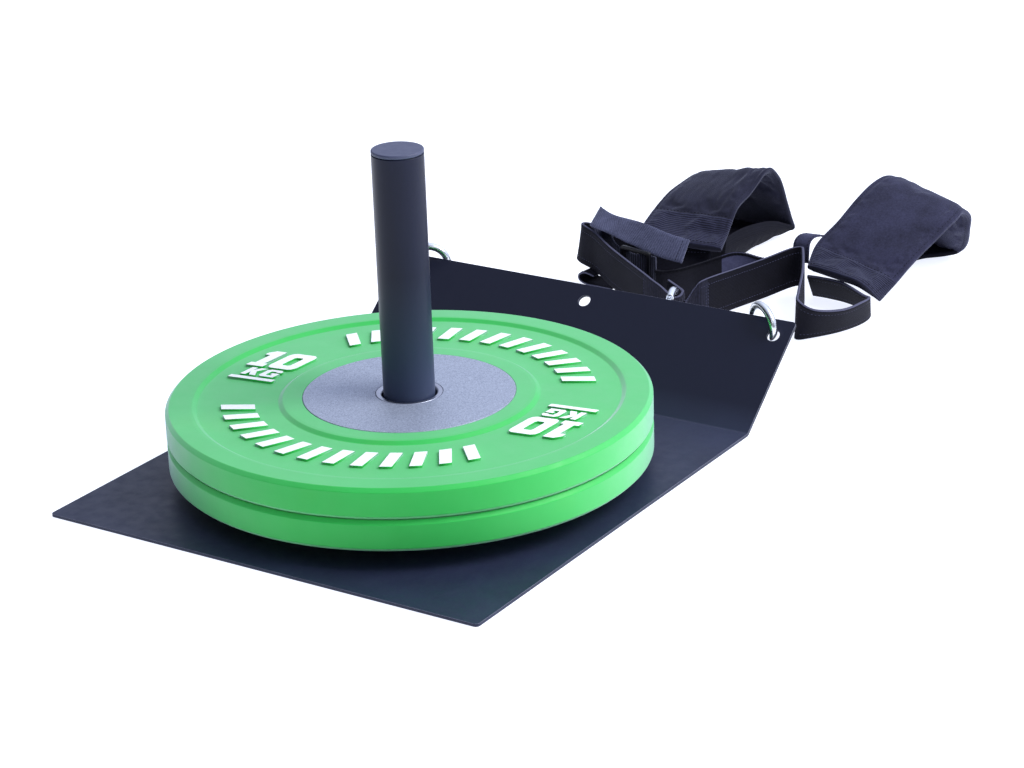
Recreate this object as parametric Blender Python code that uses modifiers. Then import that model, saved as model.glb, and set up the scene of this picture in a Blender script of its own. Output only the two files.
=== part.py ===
"""Weight sled: a folded steel sheet with a loading post, two bumper plates on the post, two snap hooks in the
front panel, and a shoulder harness with its own snap hook lying on the floor in front of the panel.

Metres, +Z up. The origin is on the floor under the middle of the post, and +Y is the way the sled is pulled.
"""

from math import asin, atan2, cos, pi, radians, sin, sqrt, tan

import bmesh
import bpy
from mathutils import Matrix, Vector

# Fits and small clearances
GAP = 0.0003
TONGUE_PLAY = 0.0003
PIN_PLAY = 0.0002

# Folded sheet
BASE_WIDTH = 0.466
BASE_BACK = 0.243
BASE_FRONT = 0.223
SHEET = 0.003
BEND_RADIUS = 0.0055
PANEL_LENGTH = 0.130
PANEL_SLOPE = radians(38.4)
CORNER_RADIUS = 0.004
HOLE_RADIUS = 0.0065
HOLE_EDGE = 0.0185
SIDE_HOLE_EDGE = 0.018

# Post, its foot collar and its cap
POST_RADIUS = 0.024
POST_WALL = 0.003
POST_TOP = 0.314
CAP_HEAD = 0.0037
CAP_BEVEL = 0.0012
CAP_PLUG = 0.020
COLLAR_RADIUS = 0.045
COLLAR_BEVEL = 0.0015
PLATE_LIFT = 0.021

# Bumper plates
PLATE_RADIUS = 0.225
PLATE_THICKNESS = 0.0297
RIM_RECESS = 0.0003
RIM_INNER_RADIUS = 0.200
RIM_BEVEL = 0.004
FACE_GROOVE = 0.003
GROOVE_SLOPE = 0.004
HUB_RING_RADIUS = 0.117
DISC_RADIUS = 0.0985
DISC_THICKNESS = 0.010
BORE_PLAY = 0.0015
SLEEVE_WALL = 0.0055
SLEEVE_BEVEL = 0.0015

# Snap hooks
HOOK_LENGTH = 0.090
HOOK_BAR = 0.008
HOOK_WIDE_RADIUS = 0.020
HOOK_NARROW_RADIUS = 0.0125
NOSE_DROP = 0.007
HINGE_RISE = 0.006
GATE_RADIUS = 0.0038
GATE_BORE = 0.0022
GATE_TAIL = 0.0040
TONGUE = 0.0026
TONGUE_HEIGHT = 0.0062
NOSE_TONGUE = 0.0045
SHOULDER = 0.0062
PIN_RADIUS = 0.0012
SPRING_RADIUS = 0.0018
SPRING_WIRE = 0.0005
SPRING_LENGTH = 0.016
HOOK_LEAN = radians(5)
HOOK_TURN = radians(31.5)
HOOK_DROP = 0.0045

# Harness webbing and pads
STRAP_WIDTH = 0.045
STRAP_THICKNESS = 0.0030
TAIL_WIDTH = 0.028
TAIL_THICKNESS = 0.0020
TAB_WIDTH = 0.019
BACK_WIDTH = 0.038
LOWER_END_WIDTH = 0.028
PAD_WIDTH = 0.098
PAD_THICKNESS = 0.0070
EYE_PLAY = 0.0011
EYE_WIDTH = 0.010
EYE_RISE = 26
SLIDER_LENGTH = 0.042
SLIDER_RAIL = 0.004
SLIDER_DEPTH = 0.0035
SLIDER_BAR = 0.005
SLIDER_PLAY = 0.001
SLIDER_PLACE = Vector((-0.058, 0.509, 0.039))
SLIDER_HEADING = radians(-12)
SLIDER_PASS = 26

# Fineness of round forms
PLATE_STEPS = 64
TURN_STEPS = 32
BAR_SIDES = 2

# Sizes that follow from the ones above
POST_FOOT = SHEET + GAP
BORE_RADIUS = POST_RADIUS + BORE_PLAY
SLEEVE_RADIUS = BORE_RADIUS + SLEEVE_WALL
HOLE_ALONG = PANEL_LENGTH - HOLE_EDGE
SIDE_HOLE_X = BASE_WIDTH / 2 - SIDE_HOLE_EDGE
HOOK_REACH = HOOK_LENGTH - HOOK_WIDE_RADIUS - HOOK_NARROW_RADIUS - HOOK_BAR
STRAP_HOOK_PLACE = Vector((0.0262, 0.4410, HOOK_WIDE_RADIUS + HOOK_BAR / 2 + GAP))
STRAP_HOOK_HEADING = radians(-72)
SLIDER_WINDOW = TAIL_WIDTH + SLIDER_PLAY
SLIDER_OFFSET = SLIDER_DEPTH / 2 + TAIL_THICKNESS / 2 + GAP


# Scene and objects


def clear_scene():
    for obj in list(bpy.data.objects):
        bpy.data.objects.remove(obj, do_unlink=True)


def collection(name):
    made = bpy.data.collections.new(name)
    bpy.context.scene.collection.children.link(made)
    return made


def finish(name, colour, roughness, metallic=0.0):
    """One Principled BSDF material for a piece."""
    made = bpy.data.materials.new(name)
    made.use_nodes = True
    shader = made.node_tree.nodes["Principled BSDF"]
    shader.inputs["Base Color"].default_value = (*colour, 1.0)
    shader.inputs["Roughness"].default_value = roughness
    shader.inputs["Metallic"].default_value = metallic
    return made


def add_piece(name, mesh, material, smooth=True):
    """Puts a mesh in the sled's collection as a named piece."""
    mesh.materials.clear()
    mesh.materials.append(material)
    if smooth:
        mesh.shade_smooth()
        mesh.set_sharp_from_angle(angle=radians(35))
    obj = bpy.data.objects.new(name, mesh)
    parts.objects.link(obj)
    return obj


def add_cutter(name, mesh):
    obj = bpy.data.objects.new(name, mesh)
    obj.hide_render = True
    obj.display_type = "WIRE"
    cutters.objects.link(obj)
    return obj


def mesh_of(name, bm):
    mesh = bpy.data.meshes.new(name)
    bmesh.ops.recalc_face_normals(bm, faces=bm.faces)
    bm.to_mesh(mesh)
    bm.free()
    return mesh


def boolean(piece, tool, operation="DIFFERENCE"):
    change = piece.modifiers.new(tool.name, "BOOLEAN")
    change.operation = operation
    change.solver = "EXACT"
    change.object = tool
    return change


def box_mesh(name, size, centre=(0, 0, 0)):
    bm = bmesh.new()
    bmesh.ops.create_cube(bm, size=1)
    bmesh.ops.scale(bm, vec=size, verts=bm.verts)
    bmesh.ops.translate(bm, vec=centre, verts=bm.verts)
    return mesh_of(name, bm)


def rod_mesh(name, radius, length, sides, turn=Matrix.Identity(4)):
    """A closed cylinder along Z, turned by a matrix."""
    bm = bmesh.new()
    bmesh.ops.create_cone(
        bm, cap_ends=True, segments=sides, radius1=radius, radius2=radius, depth=length
    )
    bmesh.ops.transform(bm, matrix=turn, verts=bm.verts)
    return mesh_of(name, bm)


def turned(name, profile, steps, material, closed=True):
    """A turned piece: the (radius, height) profile runs down the outer side and is spun about Z."""
    bm = bmesh.new()
    points = [bm.verts.new((radius, 0, height)) for radius, height in profile]
    pairs = list(zip(points, points[1:]))
    if closed:
        pairs.append((points[-1], points[0]))
    for start, end in pairs:
        bm.edges.new((start, end))
    mesh = bpy.data.meshes.new(name)
    bm.to_mesh(mesh)
    bm.free()
    obj = add_piece(name, mesh, material)
    spin = obj.modifiers.new("Spin", "SCREW")
    spin.steps = steps
    spin.render_steps = steps
    spin.use_merge_vertices = True
    spin.merge_threshold = 0.00001
    spin.use_smooth_shade = True
    return obj


# Folded sheet: the flat base and the sloping front panel are one piece


def panel_point(across, along, lift=0.0):
    """A point on the panel: across from its middle, along its slope from the bend, above its middle plane."""
    height = SHEET / 2 + lift
    return Vector(
        (
            across,
            BASE_FRONT + along * cos(PANEL_SLOPE) + (SHEET - height) * sin(PANEL_SLOPE),
            SHEET + along * sin(PANEL_SLOPE) - (SHEET - height) * cos(PANEL_SLOPE),
        )
    )


def sheet_profile():
    """(y, z) points of the sheet's middle surface, from the back edge to the panel's top."""
    corner = BASE_FRONT + SHEET / 2 * tan(PANEL_SLOPE / 2)
    start = corner - BEND_RADIUS * tan(PANEL_SLOPE / 2)
    bend_steps = 4
    bend = [
        (
            start + BEND_RADIUS * sin(PANEL_SLOPE * i / bend_steps),
            SHEET / 2 + BEND_RADIUS * (1 - cos(PANEL_SLOPE * i / bend_steps)),
        )
        for i in range(bend_steps + 1)
    ]
    top = panel_point(0, PANEL_LENGTH)
    return [(-BASE_BACK, SHEET / 2), *bend, (top.y, top.z)]


def make_base():
    profile = sheet_profile()
    bm = bmesh.new()
    bmesh.ops.create_grid(bm, x_segments=1, y_segments=len(profile) - 1, size=0.5)
    rows = sorted({round(v.co.y, 5) for v in bm.verts})
    for v in bm.verts:
        y, z = profile[rows.index(round(v.co.y, 5))]
        v.co = Vector((BASE_WIDTH * v.co.x, y, z))
    corners = [v for v in bm.verts if len(v.link_edges) == 2]
    ends = [v for v in corners if v.co.y < 0 or v.co.z > PANEL_LENGTH / 2]
    bmesh.ops.bevel(bm, geom=ends, offset=CORNER_RADIUS, segments=3, profile=0.5, affect="VERTICES")
    base = add_piece("base_plate", mesh_of("base_plate", bm), black_steel, smooth=False)
    wall = base.modifiers.new("Sheet", "SOLIDIFY")
    wall.thickness = SHEET
    wall.offset = 0
    wall.use_even_offset = True
    for label, across in (("left", -SIDE_HOLE_X), ("middle", 0.0), ("right", SIDE_HOLE_X)):
        drill = add_cutter(f"{label}_hole_drill", rod_mesh("drill", HOLE_RADIUS, 10 * SHEET, 24))
        drill.location = panel_point(across, HOLE_ALONG)
        drill.rotation_euler = (PANEL_SLOPE, 0, 0)
        boolean(base, drill)


# Post: a tube welded into a thick foot collar, closed by a plastic cap


def make_post():
    tube_inner = POST_RADIUS - POST_WALL
    tube_top = POST_TOP - CAP_HEAD - GAP
    turned(
        "post_tube",
        [
            (POST_RADIUS, tube_top),
            (POST_RADIUS, POST_FOOT),
            (tube_inner, POST_FOOT),
            (tube_inner, tube_top),
        ],
        TURN_STEPS,
        black_post,
    )
    collar_top = PLATE_LIFT - GAP
    collar_inner = POST_RADIUS + GAP
    turned(
        "foot_collar",
        [
            (COLLAR_RADIUS - COLLAR_BEVEL, collar_top),
            (COLLAR_RADIUS, collar_top - COLLAR_BEVEL),
            (COLLAR_RADIUS, POST_FOOT),
            (collar_inner, POST_FOOT),
            (collar_inner, collar_top),
        ],
        TURN_STEPS,
        black_steel,
    )
    plug = tube_inner - GAP
    head_foot = POST_TOP - CAP_HEAD
    turned(
        "post_cap",
        [
            (0, POST_TOP),
            (POST_RADIUS - 1.4 * CAP_BEVEL, POST_TOP),
            (POST_RADIUS - 0.4 * CAP_BEVEL, POST_TOP - 0.4 * CAP_BEVEL),
            (POST_RADIUS, POST_TOP - 1.4 * CAP_BEVEL),
            (POST_RADIUS, head_foot),
            (plug, head_foot),
            (plug, head_foot - CAP_PLUG),
            (0, head_foot - CAP_PLUG),
        ],
        TURN_STEPS,
        black_plastic,
        closed=False,
    )


# Bumper plates: rubber round two steel discs and a steel sleeve


def ring_profile(inner, outer, low, high):
    return [(outer, high), (outer, low), (inner, low), (inner, high)]


def make_plate(label, middle):
    """One plate, with its middle plane at that height: rubber body, a disc in each face and the bore sleeve."""
    half = PLATE_THICKNESS / 2
    face = half - RIM_RECESS
    web = half - DISC_THICKNESS - GAP
    seat = DISC_RADIUS + GAP
    inner = SLEEVE_RADIUS + GAP
    upper_face = [
        (inner, web),
        (seat, web),
        (seat, face),
        (HUB_RING_RADIUS, face),
        (HUB_RING_RADIUS + GROOVE_SLOPE, face - FACE_GROOVE),
        (RIM_INNER_RADIUS - GROOVE_SLOPE, face - FACE_GROOVE),
        (RIM_INNER_RADIUS, face),
        (PLATE_RADIUS - RIM_BEVEL, face),
        (PLATE_RADIUS, face - RIM_BEVEL),
    ]
    lower_face = [(radius, -height) for radius, height in reversed(upper_face)]
    body = turned(f"{label}_plate_rubber", upper_face + lower_face, PLATE_STEPS, green_rubber)
    discs = [
        turned(
            f"{label}_plate_{side}_disc",
            ring_profile(inner, DISC_RADIUS, *sorted((way * half, way * (half - DISC_THICKNESS)))),
            PLATE_STEPS // 2 + 16,
            grey_steel,
        )
        for side, way in (("top", 1), ("bottom", -1))
    ]
    sleeve = turned(
        f"{label}_plate_sleeve",
        [
            (SLEEVE_RADIUS, half),
            (SLEEVE_RADIUS, -half),
            (BORE_RADIUS + SLEEVE_BEVEL, -half),
            (BORE_RADIUS, SLEEVE_BEVEL - half),
            (BORE_RADIUS, half - SLEEVE_BEVEL),
            (BORE_RADIUS + SLEEVE_BEVEL, half),
        ],
        TURN_STEPS,
        grey_steel,
    )
    for piece in (body, *discs, sleeve):
        piece.location.z = middle


def make_plates():
    lower_middle = PLATE_LIFT + PLATE_THICKNESS / 2
    make_plate("lower", lower_middle)
    make_plate("upper", lower_middle + PLATE_THICKNESS + GAP)


# Snap hooks: a bent bar with a sprung, hinged gate.
# In a hook's own frame the wide bend is round the origin, the narrow one is at +X and the gate is on the +Y side.


def hook_side():
    """Start and direction of the straight gate side, from the wide bend's tangent point to the narrow bend's."""
    slope = asin((HOOK_WIDE_RADIUS - HOOK_NARROW_RADIUS) / HOOK_REACH)
    normal = Vector((sin(slope), cos(slope), 0))
    start = HOOK_WIDE_RADIUS * normal
    end = Vector((HOOK_REACH, 0, 0)) + HOOK_NARROW_RADIUS * normal
    return slope, start, (end - start).normalized(), (end - start).length


def hook_line():
    """Points along the middle of the hook's bar, from the nose's shoulder to the hinge's shoulder."""
    slope, start, along, length = hook_side()
    wide_steps = 14
    narrow_steps = 11
    line = [start + NOSE_DROP * along]
    for i in range(wide_steps + 1):
        angle = (pi / 2 - slope) + (pi + 2 * slope) * i / wide_steps
        line.append(HOOK_WIDE_RADIUS * Vector((cos(angle), sin(angle), 0)))
    for i in range(narrow_steps + 1):
        angle = -(pi / 2 - slope) + (pi - 2 * slope) * i / narrow_steps
        line.append(
            Vector((HOOK_REACH, 0, 0)) + HOOK_NARROW_RADIUS * Vector((cos(angle), sin(angle), 0))
        )
    line.append(start + (length - HINGE_RISE) * along)
    return line


def tube_mesh(name, line, radius, sides):
    """A round bar along a line of points, as a closed mesh."""
    curve = bpy.data.curves.new(name, "CURVE")
    curve.dimensions = "3D"
    curve.bevel_depth = radius
    curve.bevel_resolution = sides
    curve.use_fill_caps = True
    spline = curve.splines.new("POLY")
    spline.points.add(len(line) - 1)
    for point, place in zip(spline.points, line):
        point.co = (*place, 1)
    guide = bpy.data.objects.new(name, curve)
    cutters.objects.link(guide)
    evaluated = guide.evaluated_get(bpy.context.evaluated_depsgraph_get())
    mesh = bpy.data.meshes.new_from_object(evaluated)
    bpy.data.objects.remove(guide, do_unlink=True)
    bm = bmesh.new()
    bm.from_mesh(mesh)
    bmesh.ops.remove_doubles(bm, verts=bm.verts, dist=0.00001)
    bpy.data.meshes.remove(mesh)
    return mesh_of(name, bm)


def make_hook(label, place):
    """A snap hook, placed by a matrix: bar, gate, hinge pin and gate spring."""
    slope, start, along, length = hook_side()
    side_turn = Matrix.Rotation(-slope, 4, "Z")
    nose = start + NOSE_DROP * along
    shoulder = start + (length - HINGE_RISE) * along
    pin_centre = shoulder - SHOULDER * along
    gate_tip = nose + GAP * 2 * along
    gate_length = (pin_centre - gate_tip).length + GATE_TAIL

    body = add_piece(f"{label}_hook_bar", tube_mesh("bar", hook_line(), HOOK_BAR / 2, BAR_SIDES), zinc)
    hinge_reach = SHOULDER + TONGUE_HEIGHT / 2
    tongues = (
        ("hinge_tongue", shoulder, -1, hinge_reach),
        ("nose_tongue", nose, 1, NOSE_TONGUE),
    )
    for tongue_name, root, way, reach in tongues:
        overlap = HOOK_BAR / 3
        tongue = add_cutter(
            f"{label}_{tongue_name}",
            box_mesh(
                tongue_name,
                (reach + overlap, TONGUE_HEIGHT, TONGUE),
                (way * (reach - overlap) / 2, 0, 0),
            ),
        )
        tongue.matrix_world = place @ Matrix.Translation(root) @ side_turn
        boolean(body, tongue, "UNION")
    eye = add_cutter(f"{label}_pin_eye", rod_mesh("eye", PIN_RADIUS + PIN_PLAY, HOOK_BAR, 12))
    eye.matrix_world = place @ Matrix.Translation(pin_centre)
    boolean(body, eye)
    body.matrix_world = place

    lie = Matrix.Rotation(pi / 2, 4, "Y")
    gate_turn = Matrix.Translation(pin_centre) @ side_turn
    gate_middle = Vector((GATE_TAIL - gate_length / 2, 0, 0))
    gate_mesh = rod_mesh("gate", GATE_RADIUS, gate_length, 16, Matrix.Translation(gate_middle) @ lie)
    gate = add_piece(f"{label}_hook_gate", gate_mesh, zinc)
    gate.matrix_world = place @ gate_turn
    slot_width = TONGUE + 2 * TONGUE_PLAY
    hinge_slot = hinge_reach + SHOULDER / 4
    nose_slot = NOSE_TONGUE + 3 * GAP
    cuts = (
        ("gate_bore", rod_mesh("bore", GATE_BORE, 2 * gate_length, 12, lie)),
        (
            "hinge_slot",
            box_mesh(
                "slot",
                (hinge_slot + GATE_TAIL, 3 * GATE_RADIUS, slot_width),
                ((GATE_TAIL * 2 - hinge_slot) / 2, 0, 0),
            ),
        ),
        (
            "nose_slot",
            box_mesh(
                "slot",
                (2 * nose_slot, 3 * GATE_RADIUS, slot_width),
                (GATE_TAIL - gate_length, 0, 0),
            ),
        ),
        ("gate_pin_hole", rod_mesh("hole", PIN_RADIUS + GAP / 3, 4 * GATE_RADIUS, 12)),
    )
    for cut_name, mesh in cuts:
        cut = add_cutter(f"{label}_{cut_name}", mesh)
        cut.matrix_world = place @ gate_turn
        boolean(gate, cut)

    pin = add_piece(f"{label}_hook_pin", rod_mesh("pin", PIN_RADIUS, 2 * GATE_RADIUS, 12), zinc)
    pin.matrix_world = place @ gate_turn
    spring = turned(
        f"{label}_hook_spring",
        ring_profile(
            SPRING_RADIUS - SPRING_WIRE, SPRING_RADIUS, -SPRING_LENGTH / 2, SPRING_LENGTH / 2
        ),
        12,
        spring_steel,
    )
    spring.matrix_world = place @ gate_turn @ Matrix.Translation(gate_middle) @ lie


def panel_hook_place(way):
    """A hook hanging in a side hole: its solid side runs down through the hole and its gate side hangs
    behind the panel's top edge. way is 1 at the right hole and -1 at the left one."""
    up = Vector((0, -sin(HOOK_LEAN), cos(HOOK_LEAN)))
    across = Vector((-way, 0, 0))
    back = Vector((0, cos(HOOK_LEAN), sin(HOOK_LEAN)))
    to_gate = cos(HOOK_TURN) * across + sin(HOOK_TURN) * back
    slope = hook_side()[0]
    hole = panel_point(way * SIDE_HOLE_X, HOLE_ALONG)
    bend = hole + HOOK_DROP * up + HOOK_WIDE_RADIUS * to_gate
    down = -up
    x_axis = cos(slope) * down + sin(slope) * to_gate
    y_axis = cos(slope) * to_gate - sin(slope) * down
    return frame_matrix(bend, x_axis, y_axis)


def frame_matrix(origin, x_axis, y_axis):
    z_axis = x_axis.cross(y_axis)
    matrix = Matrix((x_axis, y_axis, z_axis)).transposed().to_4x4()
    matrix.translation = origin
    return matrix


def strap_hook_place():
    """The harness's hook lies on edge, with its wide bend in the straps and its gate side uppermost."""
    slope = hook_side()[0]
    level = Vector((cos(STRAP_HOOK_HEADING), sin(STRAP_HOOK_HEADING), 0))
    up = Vector((0, 0, 1))
    x_axis = cos(slope) * level - sin(slope) * up
    y_axis = cos(slope) * up + sin(slope) * level
    return frame_matrix(STRAP_HOOK_PLACE, x_axis, y_axis)


def make_hooks():
    make_hook("left", panel_hook_place(-1))
    make_hook("right", panel_hook_place(1))
    make_hook("strap", strap_hook_place())


# Harness: bands of webbing and padding, each a long grid laid along its route and given its thickness


def smooth(stations, pieces):
    """A smooth curve through stations of any number of values, with that many steps between two of them."""
    rows = [stations[0], *stations, stations[-1]]
    out = []
    for a, b, c, d in zip(rows, rows[1:], rows[2:], rows[3:]):
        for i in range(pieces):
            t = i / pieces
            out.append(
                [
                    0.5
                    * (
                        2 * q
                        + (r - p) * t
                        + (2 * p - 5 * q + 4 * r - s) * t * t
                        + (3 * q - p - 3 * r + s) * t * t * t
                    )
                    for p, q, r, s in zip(a, b, c, d)
                ]
            )
    out.append(list(stations[-1]))
    return out


def band_mesh(name, middles, widths, falls, across):
    """An open grid: its rows cross the band at the middles, along the width vectors, and fall at their far edge."""
    bm = bmesh.new()
    bmesh.ops.create_grid(bm, x_segments=across, y_segments=len(middles) - 1, size=0.5)
    rows = sorted({round(v.co.y, 5) for v in bm.verts})
    for v in bm.verts:
        row = rows.index(round(v.co.y, 5))
        bend = max(0, (v.co.x - 0.1) / 0.4) ** 3
        v.co = middles[row] + v.co.x * widths[row] + bend * falls[row]
    return mesh_of(name, bm)


def add_band(name, stations, pieces, thickness, material, across=1):
    """A band through its stations, each its middle, its width vector and how its far edge falls, in mm, with so
    many steps between two."""
    rows = smooth(stations, pieces)
    middles = [Vector(row[:3]) / 1000 for row in rows]
    widths = [Vector(row[3:6]) / 1000 for row in rows]
    falls = [Vector(row[6:] or (0, 0, 0)) / 1000 for row in rows]
    obj = add_piece(name, band_mesh(name, middles, widths, falls, across), material)
    cloth = obj.modifiers.new("Cloth", "SOLIDIFY")
    cloth.thickness = thickness
    cloth.offset = 0
    cloth.use_even_offset = True
    return obj


def standing(x, y, lift, width, lean_x=0.0, lean_y=0.0):
    """A station of a band on edge: where its lower edge stands, and how far its upper edge leans, in mm."""
    width = 1000 * width
    rise = sqrt(width**2 - lean_x**2 - lean_y**2)
    return (x + lean_x / 2, y + lean_y / 2, lift + rise / 2, lean_x, lean_y, rise)


def facing(x, y, z, width, *direction):
    """A station of a band from its middle in mm and the way that its width points."""
    return (x, y, z, *(Vector(direction).normalized() * 1000 * width))


def pad_station(x, y, z, roll, skew, share, fall=(0, 0, 0)):
    """A station of a pad, with z at its underside: roll lifts its right edge, skew turns that edge towards the
    back, share narrows the pad and fall moves its right edge alone."""
    level = Vector((cos(radians(skew)), sin(radians(skew)), 0))
    across = cos(radians(roll)) * level + sin(radians(roll)) * Vector((0, 0, 1))
    return (x, y, z + 500 * PAD_THICKNESS, *(across * 1000 * PAD_WIDTH * share), *fall)


def make_pads():
    """Both shoulder pads rise from their front hem, fold over and come back along the floor."""
    left = (
        (-46, 581, 39, -4, 14, 0.99),
        (-51, 604, 47.5, -4, 12, 0.99),
        (-53, 628, 60.5, 2, 4, 1),
        (-54, 653, 70.5, 4, -2, 1),
        (-52, 684, 79.5, 8, -3, 1),
        (-49, 707, 84.5, 11, -1, 1),
        (-49, 733, 73.5, 6, 0, 0.99),
        (-51, 753, 46.5, 0, 0, 0.99),
        (-52, 767, 20.5, 0, 0, 1),
        (-51, 772, 8.5, 0, 0, 1),
        (-50, 760, 1.1, 0, 0, 1, (-3, 0, 14)),
        (-48, 720, 0.5, 0, 2, 1, (-9, 0, 30)),
        (-49, 670, 0.5, 0, -2, 1, (-12, 0, 38)),
        (-50, 628, 0.5, 0, 0, 1, (-12, 0, 38)),
    )
    right = (
        (155, 570, 36.5, -3, -10, 0.86, (-3, 27, -25)),
        (154, 610, 41.5, -14, -2, 1, (3, 4, -2)),
        (165, 640, 58.5, -14, -3, 1.04),
        (174, 674, 76.5, -12, 0, 1.09),
        (179, 700, 86.5, -12, 0, 1.1),
        (181, 720, 89.5, -13, -5, 1.05),
        (182, 743, 78.5, -16, -5, 1.01),
        (174, 763, 54.5, -15, -8, 1),
        (162, 786, 30.5, -13, -9, 1),
        (149, 803, 9.5, -5, -15, 1),
        (137, 802, 1.7, 0, -22, 1),
        (119, 785, 0.8, 0, -20, 0.97),
        (107, 752, 0.5, 0, -14, 0.94),
    )
    for name, stations in (("left_shoulder_pad", left), ("right_shoulder_pad", right)):
        rows = [pad_station(*station) for station in stations]
        add_band(name, rows, 3, PAD_THICKNESS, pad_fabric, across=5)


def eye_ring(rise, start, end):
    """Stations of a strap's end loop round the strap hook's bar: rise is the loop's angle up the wide bend, and
    the loop goes from one angle to another, counted from the outer side of the bar."""
    along = Vector((cos(STRAP_HOOK_HEADING), sin(STRAP_HOOK_HEADING), 0))
    side = Vector((-along.y, along.x, 0))
    up = Vector((0, 0, 1))
    outward = sin(radians(rise)) * up - cos(radians(rise)) * along
    tangent = cos(radians(rise)) * up + sin(radians(rise)) * along
    middle = STRAP_HOOK_PLACE + HOOK_WIDE_RADIUS * outward
    sag = EYE_WIDTH**2 / (8 * HOOK_WIDE_RADIUS)
    radius = HOOK_BAR / 2 + sag + EYE_PLAY + STRAP_THICKNESS / 2
    steps = 5
    ring = []
    for i in range(steps + 1):
        angle = radians(start + (end - start) * i / steps)
        place = middle + radius * (cos(angle) * outward + sin(angle) * side)
        ring.append((*(1000 * place), *(1000 * EYE_WIDTH * tangent)))
    return ring


def make_straps():
    """The two pull straps end in loops one above the other on the strap hook. Their runs stand on edge."""
    full = STRAP_WIDTH
    left = (
        standing(2, 474, 27, 0.016),
        *eye_ring(EYE_RISE, 50, 204),
        standing(3, 457, 19, 0.022),
        standing(-10, 461, 9, 0.036),
        standing(-24, 468, 3, full),
        standing(-60, 492, 5, full),
        standing(-94, 513, 9, full),
        standing(-122, 530, 15, full),
        standing(-148, 540, 18, full, 3, 2),
        standing(-158, 553, 18, full, 12, 0),
        standing(-146, 565, 12, full, 8, -2),
        standing(-114, 568, 2, full, 0, 10),
        standing(-74, 563, 1.5, full, -2, 19.3),
        standing(-40, 567, 1.5, full, -6, 27),
        standing(-12, 582, 1.5, full, -10, 30),
    )
    right = (
        standing(33, 490, 3, 0.020),
        standing(22, 478, 4, 0.018),
        standing(15, 469, 8, 0.014),
        *eye_ring(-EYE_RISE, 290, 110),
        standing(29, 467, 8, 0.019),
        standing(34, 475, 3, 0.036),
        standing(40, 484, 1, full),
        standing(52, 530, 1, full),
        standing(67, 571, 3, full),
        standing(82, 597, 8, full),
        standing(92, 603, 10, full),
        standing(100, 594, 10, full),
        standing(123, 549, 5, full),
        standing(145, 497, 1, full),
        standing(153, 477, 0.5, full, 4, -3),
        standing(166, 490, 1.2, full, 12, -20),
        standing(182, 518, 1.2, full, 16, -24),
        standing(191, 548, 1.2, full, 15, -24),
        standing(190, 572, 1.2, full, 13, -28),
        standing(178, 588, 1.4, full, 12, -32),
        standing(150, 601, 1.4, full, 8, -29.6),
        standing(124, 605, 1.4, full, 6, -30),
        standing(107, 605, 1.4, full, 8, -30),
    )
    seam = slider_point(SLIDER_PASS + 1000 * GAP, 1000 * SLIDER_OFFSET)[:2]
    back = (
        standing(*seam, 0.3, BACK_WIDTH),
        standing(-24, 507, 0.3, BACK_WIDTH),
        standing(-13, 518, 0.3, BACK_WIDTH),
        standing(0, 539, 2, BACK_WIDTH),
        standing(16, 557, 7, BACK_WIDTH),
        standing(27, 569, 10, BACK_WIDTH),
        standing(38, 577, 9, BACK_WIDTH),
        standing(54, 582, 5, BACK_WIDTH),
        standing(70, 583, 4, BACK_WIDTH),
    )
    for name, stations in (("left_pull_strap", left), ("right_pull_strap", right), ("back_strap", back)):
        add_band(name, stations, 3, STRAP_THICKNESS, webbing)


def slider_point(along, away, height=0.0):
    """A place in the slider's own frame: along it, away from its front and above its middle, in mm."""
    return (
        Matrix.Translation(SLIDER_PLACE)
        @ Matrix.Rotation(SLIDER_HEADING, 4, "Z")
        @ Vector((along / 1000, away / 1000, height / 1000))
    ) * 1000


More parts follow.
